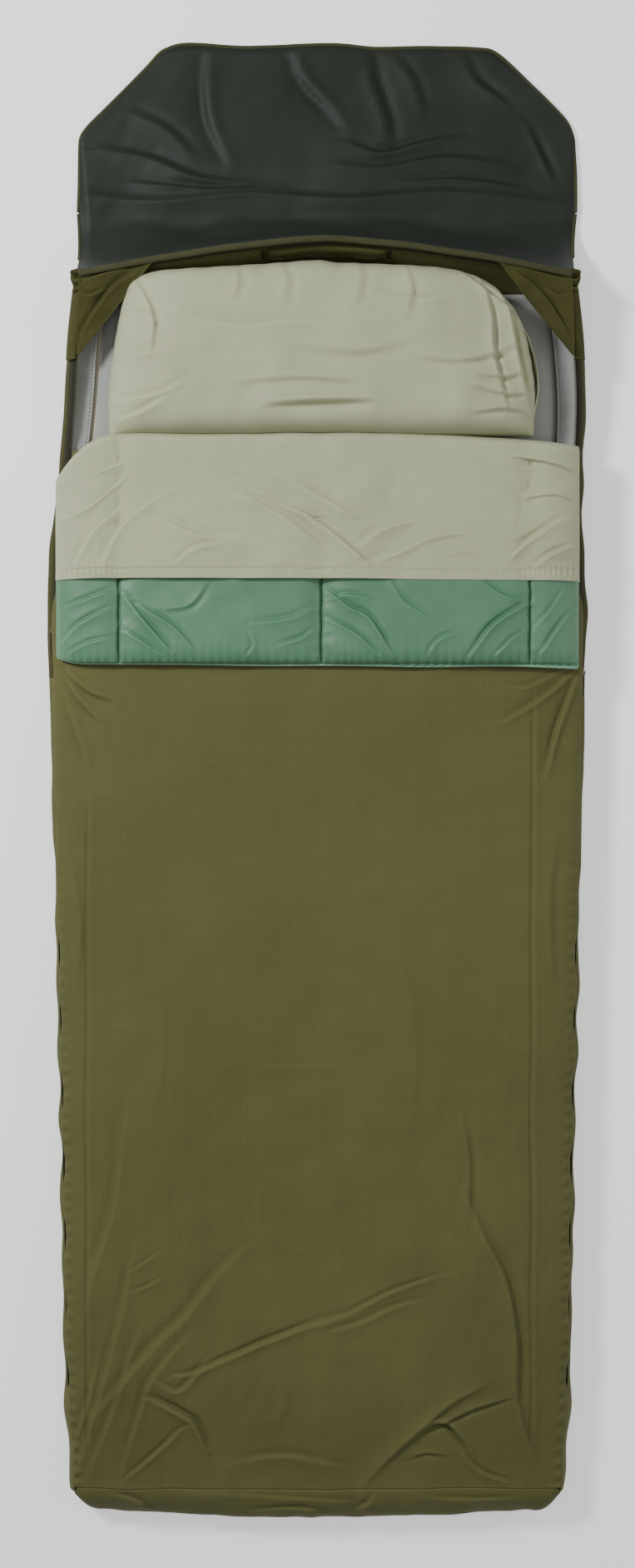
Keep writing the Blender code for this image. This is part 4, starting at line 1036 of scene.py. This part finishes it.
def pillow_plan():
    """Plan points of the pillow, and how far across and along each lies (-1 to 1)."""
    foot = PILLOW_LOW[1] + 0.003
    bottom = [(-0.325, foot), (-0.170, foot - 0.002), (0.010, foot), (0.180, foot - 0.002), (0.337, foot)]
    left = [(-0.325, foot), (-0.327, 0.600), (-0.317, 0.680), (-0.303, 0.750), (-0.292, 0.775)]
    right = [(0.337, foot)] + PILLOW_END
    top = [(-0.292, 0.775), (-0.280, 0.784), (-0.253, 0.790), (-0.165, 0.795), (-0.077, 0.800),
           (0.000, 0.805), (0.030, 0.801), (0.123, 0.798), (0.190, 0.794), (0.235, 0.785), (0.270, 0.769),
           (0.302, 0.742)]
    s = eased(190, 0.82)
    t = eased(124, 0.82)
    plan = patch(bottom, top, left, right, (s + 1) / 2, (t + 1) / 2)
    ss, tt = np.meshgrid(s, t)
    return plan[:, :, 0], plan[:, :, 1], ss, tt


def pillow():
    x, y, ss, tt = pillow_plan()
    ends = np.clip(1 - np.abs(ss) ** 5, 0, 1) ** 0.55
    foot_side = np.clip(1 - np.abs(tt) ** 9, 0, 1) ** 0.5
    head_side = np.clip(1 - np.abs(tt) ** 3.6, 0, 1) ** 0.5
    along = np.where(tt < 0, foot_side, head_side)
    seam_z = 0.066 + 0.014 * ends
    seam_z = np.where(tt < 0, seam_z + 0.010 * np.abs(tt) ** 4, seam_z)
    tilt = 1 - 0.10 * np.clip(-tt, 0, 1) ** 2
    peak = PILLOW_HIGH[2] - 0.001
    fill = np.clip(ends * along, 0, 1)
    high = seam_z + (peak - seam_z) * fill * tilt
    loose = fill ** 0.6
    high = high + loose * (0.0050 * noise(x, y, 7, 131) + 0.0010 * noise(x, y, 30, 132))
    high = high + loose * 0.0034 * ripples(x, y, -20, 0.070, 2, 138) * (1 - smooth((tt + 0.1) / 0.5))
    high = high + loose * 0.0024 * ripples(x, y, 80, 0.038, 3, 133)
    high = high + loose * 0.0013 * ripples(x, y, 25, 0.020, 3, 135) * (0.5 + 0.5 * noise(x, y, 5, 136))
    high = high + loose * creases(x, y, PILLOW_FOLDS, 2.1)
    near_end = np.exp(-((1 - np.abs(ss)) / 0.06) ** 2) * fill ** 0.3
    high = high + near_end * 0.0022 * np.sin(y * 2 * math.pi / 0.026 + 3 * noise(y, x, 9, 134))
    near_head = np.exp(-((1 - tt) / 0.16) ** 2) * fill ** 0.3
    high = high + near_head * 0.0016 * np.sin(x * 2 * math.pi / 0.040 + 4 * noise(x, y, 8, 137))
    low = seam_z - (seam_z - PILLOW_LOW[2] - 0.0005) * fill ** 0.5
    case = closed_pad("pillow_cloth", xyz(x, y, low),
                      xyz(x, y, np.maximum(high, low + 0.00001)),
                      COTTON, "pillow", ["pillowcase", "pillow_core"], leaning=False)


def pillow_opening():
    """The pillowcase's open end: a turned hem that stands a little off the pillow."""
    y = np.linspace(0.560, 0.722, 80)
    s = np.linspace(-1, 1, 22)
    yy, ss = np.meshgrid(y, s, indexing="ij")
    edge = along_path([(0.337, 0.540)] + PILLOW_END, np.clip((yy - 0.540) / 0.205, 0, 1))[..., 0]
    reach = 0.010 * (1 - (np.abs(yy - 0.640) / 0.09) ** 2)
    x = edge - 0.006 + reach * (0.5 + 0.5 * np.cos(ss * 0.6)) + 0.0020 * noise(yy, ss * 0.2, 30, 141)
    z = 0.070 + 0.016 * ss * (1 - (np.abs(yy - 0.64) / 0.12) ** 2) + 0.0016 * noise(yy, ss * 0.1, 24, 142)
    hem = cloth("pillowcase_hem", xyz(x, yy, z), COTTON, "pillow",
                thickness=0.0014, leaning=False)


mattress()
pillow()
pillow_opening()


# ---------------------------------------------------------------- turned-down cuff

QUILT_LINES = (-0.3075, 0.006, 0.329)
QUILT_UNDER = CUFF_LOW[2] + 0.0145   # underside of the quilt in the middle of the cuff


QUILT_FOLDS = [
    ([(-0.300, 0.283), (-0.270, 0.245), (-0.224, 0.192)], 0.0050, 0.0050, 0.9),
    ([(-0.280, 0.268), (-0.225, 0.235), (-0.188, 0.196)], 0.0046, 0.0036, 0.9),
    ([(-0.296, 0.225), (-0.262, 0.205), (-0.240, 0.188)], 0.0040, 0.0030, 0.9),
    ([(0.014, 0.290), (0.050, 0.262), (0.080, 0.246), (0.117, 0.186)], 0.0052, 0.0052, 0.9),
    ([(0.014, 0.246), (0.060, 0.222), (0.096, 0.188)], 0.0044, 0.0038, 0.9),
    ([(0.012, 0.274), (0.045, 0.282), (0.085, 0.276)], 0.0050, 0.0028, 0.8),
    ([(0.235, 0.186), (0.272, 0.236), (0.322, 0.268)], 0.0050, 0.0054, 0.9),
    ([(0.275, 0.188), (0.300, 0.215), (0.322, 0.230)], 0.0040, 0.0032, 0.9),
    ([(0.345, 0.190), (0.375, 0.235), (0.398, 0.262)], 0.0046, 0.0044, 0.9),
    ([(0.338, 0.235), (0.362, 0.262), (0.384, 0.296)], 0.0044, 0.0032, 0.9),
    ([(-0.400, 0.206), (-0.370, 0.236), (-0.320, 0.262)], 0.0048, 0.0042, 0.9),
    ([(-0.396, 0.262), (-0.360, 0.275), (-0.318, 0.290)], 0.0044, 0.0032, 0.9),
    ([(-0.390, 0.190), (-0.356, 0.208), (-0.318, 0.216)], 0.0042, 0.0030, 0.9),
    ([(-0.170, 0.305), (-0.196, 0.270), (-0.236, 0.262)], 0.0060, 0.0026, 0.7),
    ([(0.110, 0.305), (0.135, 0.270), (0.180, 0.242)], 0.0056, 0.0028, 0.8),
    ([(0.250, 0.305), (0.290, 0.280), (0.322, 0.274)], 0.0050, 0.0030, 0.8),
    ([(-0.100, 0.238), (-0.045, 0.245), (-0.004, 0.262)], 0.0060, 0.0030, 0.8),
    ([(-0.060, 0.205), (-0.026, 0.215), (-0.002, 0.232)], 0.0044, 0.0030, 0.8),
    ([(-0.110, 0.186), (-0.098, 0.205), (-0.104, 0.226)], 0.0040, 0.0026, 0.8),
    ([(0.170, 0.186), (0.186, 0.212), (0.218, 0.226)], 0.0044, 0.0030, 0.8),
]


def droop(x):
    """How far the cuff hangs at its ends."""
    return 0.0140 * np.clip(np.abs(x) / CUFF_HALF, 0, 1) ** 8


def line_gap(x):
    """Distance to the nearest sewn line of the quilt."""
    return np.min([np.abs(x - at) for at in QUILT_LINES], axis=0)


def line_wander(y):
    return 0.0012 * noise(y, y * 0 + 3, 60, 155)


def quilt_rise(x, y):
    """Thickness of the quilt on the cuff: full between the sewn lines and pinched along them."""
    across = np.clip(1 - np.abs(x / CUFF_HALF) ** 12, 0, 1) ** 0.5
    gap = line_gap(x + line_wander(y))
    pinch = 1 - 0.30 * np.exp(-(gap / 0.0022) ** 2) - 0.24 * np.exp(-(gap / 0.018) ** 2)
    foot_edge = np.clip((y - CUFF_LOW[1]) / 0.030, 0, 1)
    foot_edge = 0.30 + 0.70 * np.sqrt(np.clip(1 - (1 - foot_edge) ** 2.2, 0, 1))
    rise = 0.0252 * across * pinch * foot_edge
    wrinkle = 0.0016 * ripples(x, y, 4, 0.0105, 2.5, 151) * np.exp(-gap / 0.016)
    wrinkle = wrinkle + 0.0013 * ripples(x, y, -48, 0.022, 3, 152)
    wrinkle = wrinkle + 0.0010 * ripples(x, y, 35, 0.030, 3, 153)
    wrinkle = wrinkle + creases(x, y, QUILT_FOLDS)
    wave = np.sin(x * 2 * math.pi / 0.014 + 4 * noise(x, y, 14, 154))
    edge_pucker = 0.0011 * wave * np.exp(-(y - CUFF_LOW[1]) / 0.013)
    return rise + across * (wrinkle * np.minimum(foot_edge * 1.2, 1) + edge_pucker)


def quilt_edge(x):
    """The quilt's lower edge waves gently and is drawn up at its left corner."""
    corner = 0.011 * np.exp(-((x + 0.415) / 0.028) ** 2)
    return CUFF_LOW[1] - 0.001 - 0.0065 * x + 0.0022 * noise(x, x * 0, 8, 161) + corner


def quilt_cuff():
    s = np.concatenate([[-1, -0.9985, -0.995], np.linspace(-0.99, 0.99, 430), [0.995, 0.9985, 1]])
    t = np.concatenate([np.linspace(0, 0.46, 130), np.linspace(0.47, 1, 20)])
    tt, ss = np.meshgrid(t, s, indexing="ij")
    x = ss * CUFF_HALF
    low_y = quilt_edge(x)
    y = low_y + (fold_line(x) - 0.006 - low_y) * tt
    low = QUILT_UNDER - droop(x)
    high = low + np.maximum(quilt_rise(x, y), 0.0035)
    pad = closed_pad("quilt_turndown", xyz(x, y, low), xyz(x, y, high), NYLON,
                     "cuff", ["quilt_cuff"], leaning=False)
    path_x = np.linspace(-CUFF_HALF + 0.003, CUFF_HALF - 0.003, 240)
    path_y = quilt_edge(path_x) - 0.0006
    path_z = QUILT_UNDER - droop(path_x) + 0.0040 + 0.0012 * noise(path_x, path_x * 0, 40, 163)
    path = xyz(path_x, path_y, path_z)
    tube("quilt_piping", path, 0.0022, PIPING, "cuff", ["quilt_edge_piping"])
    for number, at in enumerate(QUILT_LINES):
        line_y = np.linspace(CUFF_LOW[1] + 0.006, 0.33, 60)
        line_x = at - line_wander(line_y)
        line_z = QUILT_UNDER - droop(line_x) + quilt_rise(line_x, line_y) + 0.0003
        line = xyz(line_x, line_y, line_z)
        stitches(f"quilt_line_stitches_{number}", line, "cuff", DARK_THREAD, spacing=0.0036)


def fold_line(x):
    """Where the bedding folds back: rounded at the left corner, falling gently to the right."""
    left = np.clip((-0.300 - x) / 0.108, 0, None)
    right = np.clip((x - 0.120) / 0.29, 0, None)
    wave = 0.0018 * noise(x, x * 0 + 5, 7, 171)
    return FOLD_Y + 0.004 - 0.072 * left ** 2.3 - 0.018 * right ** 1.5 + wave


SHEET_FOLDS = [
    ([(-0.100, 0.452), (-0.060, 0.425), (0.000, 0.395), (0.078, 0.330)], 0.0062, 0.0052, 0.9),
    ([(-0.060, 0.470), (0.010, 0.430), (0.060, 0.400)], 0.0060, 0.0030, 0.8),
    ([(-0.120, 0.440), (-0.050, 0.400), (0.010, 0.352)], 0.0070, 0.0030, 0.8),
    ([(0.075, 0.330), (0.120, 0.345), (0.180, 0.372), (0.250, 0.380)], 0.0066, 0.0034, 0.8),
    ([(0.060, 0.350), (0.105, 0.385), (0.180, 0.400)], 0.0075, 0.0024, 0.7),
    ([(-0.330, 0.330), (-0.300, 0.390), (-0.235, 0.440)], 0.0075, 0.0030, 0.8),
    ([(-0.372, 0.332), (-0.345, 0.380), (-0.300, 0.420)], 0.0065, 0.0026, 0.8),
    ([(-0.395, 0.400), (-0.350, 0.420), (-0.290, 0.470)], 0.0070, 0.0034, 0.8),
    ([(-0.385, 0.445), (-0.340, 0.470), (-0.270, 0.500)], 0.0070, 0.0026, 0.8),
    ([(0.160, 0.500), (0.210, 0.450), (0.280, 0.420)], 0.0080, 0.0026, 0.7),
    ([(0.290, 0.330), (0.320, 0.360), (0.380, 0.400)], 0.0064, 0.0032, 0.8),
    ([(0.335, 0.325), (0.362, 0.345), (0.398, 0.360)], 0.0054, 0.0030, 0.8),
    ([(0.404, 0.478), (0.345, 0.492), (0.290, 0.500)], 0.0058, 0.0044, 0.9),
    ([(0.404, 0.430), (0.370, 0.440), (0.320, 0.436)], 0.0060, 0.0030, 0.8),
    ([(-0.250, 0.400), (-0.180, 0.372), (-0.120, 0.366)], 0.0085, 0.0022, 0.7),
    ([(-0.220, 0.330), (-0.190, 0.352), (-0.150, 0.360)], 0.0055, 0.0020, 0.7),
    ([(0.180, 0.326), (0.210, 0.348), (0.250, 0.352)], 0.0055, 0.0022, 0.7),
]
SHEET_SEAM_Y = SHEET_LOW[1] + 0.0165

def sheet_height(x, y):
    """The sheet lies on the quilt and bridges its sewn lines."""
    base = QUILT_UNDER - droop(x)
    across = np.clip(1 - np.abs(x / (CUFF_HALF + 0.002)) ** 14, 0, 1) ** 0.5
    lines = 0.0030 * np.exp(-(line_gap(x) / 0.020) ** 2)
    z = base + 0.0262 * across - lines + 0.0010
    z = z + across * (0.0042 * noise(x, y, 8, 181) + 0.0026 * ripples(x, y, 40, 0.034, 3, 182))
    z = z + across * 0.0044 * ripples(x, y, -38, 0.085, 2, 186)
    z = z + across * 0.0011 * ripples(x, y, 8, 0.014, 4, 184) * (0.5 + 0.6 * noise(x, y, 6, 185))
    z = z + across * creases(x, y, SHEET_FOLDS, 2.1)
    hem = np.exp(-((y - SHEET_SEAM_Y) / 0.0020) ** 2)
    pucker = np.sin(x * 2 * math.pi / 0.0085 + 3 * noise(x, y, 20, 183))
    z = z - 0.0014 * hem + 0.0009 * pucker * np.exp(-((y - SHEET_SEAM_Y + 0.003) / 0.009) ** 2)
    z = z + 0.0008 * smooth((SHEET_SEAM_Y - y) / 0.003)
    return np.maximum(z, base + np.maximum(quilt_rise(x, y), 0.0035) + 0.0012)


def sheet_turndown():
    """The sheet: from its hem up over the cuff, round the fold and in under the quilt."""
    s = eased(300, 0.85)
    half = CUFF_HALF - 0.0005
    x = s * half
    fold = fold_line(x)
    hem_y = SHEET_LOW[1] - 0.004 * x + 0.0020 * noise(x, x * 0, 6, 191)
    rows = []
    for t in np.linspace(0, 1, 160):
        y = hem_y + (fold - 0.010 - hem_y) * t
        rows.append(xyz(x, y, sheet_height(x, y)))
    top_y = fold - 0.010
    top_z = sheet_height(x, top_y)
    low_z = PAD_Z + 0.0034
    middle = (top_z + low_z) / 2
    reach = (top_z - low_z) / 2
    for turn in np.linspace(90, -90, 30)[1:]:
        c, sn = math.cos(math.radians(turn)), math.sin(math.radians(turn))
        y = top_y + (0.0165 + 0.0012 * noise(x, x * 0 + turn * 0.001, 16, 192)) * c ** 0.8
        rows.append(xyz(x, y, middle + reach * sn))
    for back in np.linspace(0.006, 0.024, 3):
        rows.append(xyz(x, top_y - back, low_z))
    obj = cloth("sheet_turndown", rows, COTTON, None, ["sheet_cuff", "sheet_hem"], 0.0009,
                leaning=False)
    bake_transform(obj)
    seam_x = np.linspace(-half + 0.004, half - 0.004, 300)
    seam_y = SHEET_SEAM_Y - 0.0006 - 0.004 * seam_x
    seam = xyz(seam_x, seam_y, sheet_height(seam_x, seam_y) + 0.0010)
    stitches("sheet_hem_stitches", seam, "cuff", PALE_THREAD, 0.0036, 0.0026)


def cover_underside():
    """The canvas that is turned down under the quilt, and its bend at the fold."""
    s = eased(60, 0.85)
    x = s * (CUFF_HALF - 0.010)
    fold = fold_line(x) - 0.014
    rows = []
    for t in np.linspace(0, 1, 40):
        y = CUFF_FOOT_Y + (fold - CUFF_FOOT_Y) * t
        rows.append(xyz(x, y, CUFF_LOW[2] + 0.0132 - droop(x)))
    under = cloth("cover_turndown", rows, CANVAS, "cuff", ["cover_cuff"], 0.0008, leaning=False)
    rows = []
    low = EDGE_Z + 0.004
    high = CUFF_LOW[2] + 0.0136
    for turn in np.linspace(-90, 90, 10):
        c, sn = math.cos(math.radians(turn)), math.sin(math.radians(turn))
        z = (low + high) / 2 + (high - low) / 2 * sn
        rows.append(xyz(x, fold - 0.002 + 0.006 * c, z - droop(x) * (1 + sn) / 2))
    bend = cloth("cover_bend", rows, CANVAS, None, (), 0.0003, leaning=False)
    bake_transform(bend)


quilt_cuff()
sheet_turndown()
cover_underside()
for side, sign in SIDES.items():
    cuff_zip(side, sign)


# ---------------------------------------------------------------- weather flap

FLAP_FOLDS = [
    ([(-0.185, 1.160), (-0.188, 1.100), (-0.180, 1.040), (-0.150, 0.975)], 0.0130, -0.0072, 0.5),
    ([(-0.050, 1.162), (-0.030, 1.110), (0.015, 1.060), (0.035, 1.030)], 0.0110, -0.0066, 0.7),
    ([(0.075, 1.165), (0.085, 1.110), (0.105, 1.050), (0.110, 1.000)], 0.0120, 0.0072, 0.8),
    ([(0.120, 1.150), (0.150, 1.110), (0.165, 1.060)], 0.0100, 0.0050, 0.7),
    ([(0.230, 1.150), (0.250, 1.110), (0.300, 1.070)], 0.0110, 0.0048, 0.7),
    ([(0.045, 1.010), (0.100, 0.992), (0.165, 1.008), (0.230, 1.020)], 0.0095, 0.0058, 0.8),
    ([(0.020, 0.975), (0.100, 0.968), (0.200, 0.985), (0.300, 0.975)], 0.0110, 0.0046, 0.7),
    ([(-0.350, 1.000), (-0.270, 0.985), (-0.180, 0.950), (-0.060, 0.945)], 0.0120, 0.0054, 0.7),
    ([(-0.300, 1.060), (-0.240, 1.030), (-0.200, 0.990)], 0.0110, 0.0040, 0.6),
    ([(-0.360, 0.925), (-0.250, 0.915), (-0.100, 0.928), (0.050, 0.918), (0.200, 0.930), (0.380, 0.915)],
     0.0130, 0.0060, 0.5),
    ([(-0.300, 0.948), (-0.180, 0.935), (-0.060, 0.942)], 0.0080, 0.0040, 0.7),
    ([(0.120, 0.945), (0.220, 0.950), (0.330, 0.938)], 0.0085, 0.0044, 0.7),
    ([(0.330, 1.040), (0.350, 1.000), (0.372, 0.950)], 0.0100, 0.0040, 0.7),
]


def flap_plan(s, t):
    """Plan points of the flap beyond the skirt: s across and t towards its free edge, both 0 to 1."""
    root = SKIRT_HIGH[1] + 0.006
    bottom = [(-0.381, root), (-0.120, root), (0.120, root), (0.411, root)]
    left = [(-0.381, root), (-0.380, 0.930), (-0.3795, 0.965), (-0.379, 1.005)]
    right = [(0.411, root), (0.4115, 0.930), (0.411, 0.965), (0.409, 1.000)]
    top = [(-0.379, 1.005), (-0.377, 1.022), (-0.365, 1.040), (-0.335, 1.070), (-0.275, 1.131),
           (-0.254, 1.154), (-0.241, 1.163), (-0.205, 1.171), (-0.110, 1.166), (0.020, 1.170),
           (0.090, 1.165), (0.180, 1.166), (0.255, 1.164), (0.288, 1.154), (0.341, 1.104), (0.380, 1.066),
           (0.398, 1.045), (0.407, 1.022), (0.409, 1.000)]
    return patch(bottom, top, left, right, s, t)


def flap_height(x, y):
    """Soft wrinkles of the flap where it lies on the ground."""
    z = 0.0045 + 0.0036 * (1 + noise(x, y, 6, 211))
    z = z + 0.0024 * (1 + ripples(x, y, 80, 0.070, 2, 212)) + 0.0018 * ripples(x, y, 20, 0.055, 2, 213)
    z = z + 0.0006 * ripples(x, y, 55, 0.018, 3, 214)
    roll = y - 0.914 - 0.008 * noise(x, x * 0, 6, 215)
    z = z + 0.0036 * (1 + 0.35 * noise(x, y * 0, 9, 216)) * np.exp(-(roll / 0.019) ** 2)
    z = z + creases(x, y, FLAP_FOLDS)
    return np.maximum(z, FLAP_GROUND)


def flap_calm(s, t):
    """Less wrinkled along the bound edges."""
    return 1 - 0.6 * np.maximum(smooth((np.abs(2 * s - 1) - 0.95) / 0.05), smooth((t - 0.95) / 0.05))


def skirt_row(top_x, root, down):
    """One row across the skirt, which drops steeply from the rim (0) and runs out flat to the panel (1)."""
    top_y, top_z = rim_y(top_x) + 0.0044, rim_z(top_x) - 0.0005
    rim_x = top_x * flare(rim_y(top_x)) + lean(rim_y(top_x))
    x = rim_x + (root[:, 0] - rim_x) * down
    y = top_y + (root[:, 1] - top_y) * down
    calm = flap_calm((top_x / RIM_HALF + 1) / 2, np.zeros_like(top_x))
    end_z = FLAP_GROUND + (flap_height(x, y) - FLAP_GROUND) * calm
    z = end_z + (top_z - end_z) * (1 - down) ** 2.3
    loose = math.sin(down * math.pi)
    y = y + loose * 0.0030 * noise(top_x, top_x * 0 + down * 0.1, 10, 231)
    z = z + loose * 0.0044 * noise(top_x, top_x * 0 + down * 0.2, 13, 232)
    return xyz(x, y, z)


def plan_inset(s, along):
    """The flap's edge drawn in by the width of its hem, from the left root round to the right root."""
    margin = 0.011
    left = flap_plan(np.array([margin / 0.76]), along)[:, 0]
    top = flap_plan(s[6:-6], np.array([1 - margin / 0.27]))[0]
    right = flap_plan(np.array([1 - margin / 0.76]), along)[::-1, 0]
    return np.concatenate([left[:-6], top, right[6:]])


def flap():
    s = (eased(210, 0.9) + 1) / 2
    along = np.concatenate([np.linspace(0, 0.30, 50), np.linspace(0.305, 1, 110)])
    plan = flap_plan(s, along)
    ss, tt = np.meshgrid(s, along)
    x, y = plan[:, :, 0], plan[:, :, 1]
    z = FLAP_GROUND + (flap_height(x, y) - FLAP_GROUND) * flap_calm(ss, tt)
    flat = xyz(x, y, z)
    top_x = RIM_HALF * (2 * s - 1)
    split = 0.30
    upper = [skirt_row(top_x, flat[0], down) for down in np.linspace(0, split, 16)]
    skirt = cloth("flap_skirt_cloth", upper, COATED, None, ["flap_skirt"], 0.0016,
                  leaning=False)
    skirt_under = cloth("flap_skirt_canvas", np.array(upper) - (0, 0.0022, 0.0016), CANVAS, None,
                        (), 0.0008, leaning=False)
    for layer in (skirt, skirt_under):
        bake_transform(layer)
    rows = np.array([skirt_row(top_x, flat[0], down) for down in np.linspace(split, 0.985, 34)])
    skirt_rows = len(rows)
    panel = np.concatenate([rows, flat])
    lining_obj = cloth("flap_lining_cloth", panel, COATED, None, ["flap_lining"], 0.0008,
                       leaning=False)
    under = panel.copy()
    under[:, :, 2] -= 0.0017
    under[:skirt_rows, :, 1] -= 0.0020 * np.linspace(1, 0, skirt_rows)[:, None]
    under[:, :, 0] = 0.0150 + (under[:, :, 0] - 0.0150) * 0.997
    canvas_obj = cloth("flap_canvas", np.maximum(under, (-9, -9, 0.0010)), CANVAS, None,
                       ["flap_outer"], 0.0008, leaning=False)
    for obj in (lining_obj, canvas_obj):
        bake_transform(obj)
    left = [tuple(row[0]) for row in flat]
    top = [tuple(p) for p in flat[-1]]
    right = [tuple(row[-1]) for row in flat[::-1]]
    places, _ = resample(left + top[1:-1] + right, 0.005)
    tube("flap_binding_tape", places.tolist(), 0.0030, BINDING, "flap", ["flap_binding"],
         flat=0.62, sides=10, leaning=False)
    for side, column in (("left", 0), ("right", -1)):
        edge = [tuple(row[column]) for row in rows] + [left[0] if column == 0 else right[-1]]
        tape = tube(f"flap_{side}_root_binding", edge, 0.0028, BINDING, None, flat=0.62,
                    leaning=False)
        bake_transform(tape)
    inset = plan_inset(s, along)
    x, y = inset[:, 0], inset[:, 1]
    inner_z = FLAP_GROUND + (flap_height(x, y) - FLAP_GROUND) * 0.62 + 0.0010
    stitches("flap_stitches", xyz(x, y, inner_z), "flap", leaning=False)


flap()


# ---------------------------------------------------------------- carried-over CAD nodes

def repaint(names, mat):
    for name in names:
        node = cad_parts[name]
        node.data.materials.clear()
        node.data.materials.append(mat)


ZIP_METAL = ("slider", "pull", "bottom_stop", "top_stop")
repaint([f"{side}_{part}" for side in SIDES for part in ZIP_METAL], METAL)
repaint(["mattress_foam"], FOAM)
repaint(["floor_panel"], FLOORING)


# ---------------------------------------------------------------- floor, light and camera

CAMERA_HEIGHT = 3.2
FRAME_TALL = 2.504         # metres of floor from the top to the bottom of the view
SENSOR = 36.0
CENTRE_Y = -0.008


def stage():
    mesh = bpy.data.meshes.new("ground")
    size, depth = 14.0, -0.0005
    corners = [(-size, -size, depth), (size, -size, depth), (size, size, depth), (-size, size, depth)]
    mesh.from_pydata(corners, [], [(0, 1, 2, 3)])
    ground = bpy.data.objects.new("ground", mesh)
    bpy.context.scene.collection.objects.link(ground)
    mat, tree, shader = new_material("pale_ground", (0.90, 0.90, 0.90), 0.95)
    fill_in(tree, shader, Specular_IOR_Level=0.1, Emission_Color=(1, 1, 1, 1), Emission_Strength=0.50)
    mesh.materials.append(mat)


def area_light(name, place, target, size, power, colour=(1, 1, 1)):
    light = bpy.data.lights.new(name, "AREA")
    light.shape = "RECTANGLE"
    light.size, light.size_y = size
    light.energy = power
    light.color = colour
    obj = bpy.data.objects.new(name, light)
    bpy.context.scene.collection.objects.link(obj)
    obj.location = place
    obj.rotation_euler = (Vector(target) - Vector(place)).to_track_quat("-Z", "Y").to_euler()


def lights():
    world = bpy.data.worlds.new("studio")
    bpy.context.scene.world = world
    world.use_nodes = True
    background = world.node_tree.nodes["Background"]
    background.inputs["Color"].default_value = (1, 1, 1, 1)
    background.inputs["Strength"].default_value = 0.30
    area_light("key_left", (-2.05, 1.40, 2.45), (0, -0.15, 0), (0.6, 0.6), 102)
    area_light("overhead", (0.2, -0.1, 3.9), (0, -0.1, 0), (2.2, 2.8), 24)
    area_light("right_fill", (2.8, 0.2, 1.8), (0, 0, 0), (1.8, 1.8), 24)


def camera():
    data = bpy.data.cameras.new("camera")
    data.sensor_width = SENSOR
    data.lens = SENSOR * CAMERA_HEIGHT / FRAME_TALL
    obj = bpy.data.objects.new("camera", data)
    bpy.context.scene.collection.objects.link(obj)
    obj.location = (0, CENTRE_Y, CAMERA_HEIGHT)
    bpy.context.scene.camera = obj


stage()
lights()
camera()
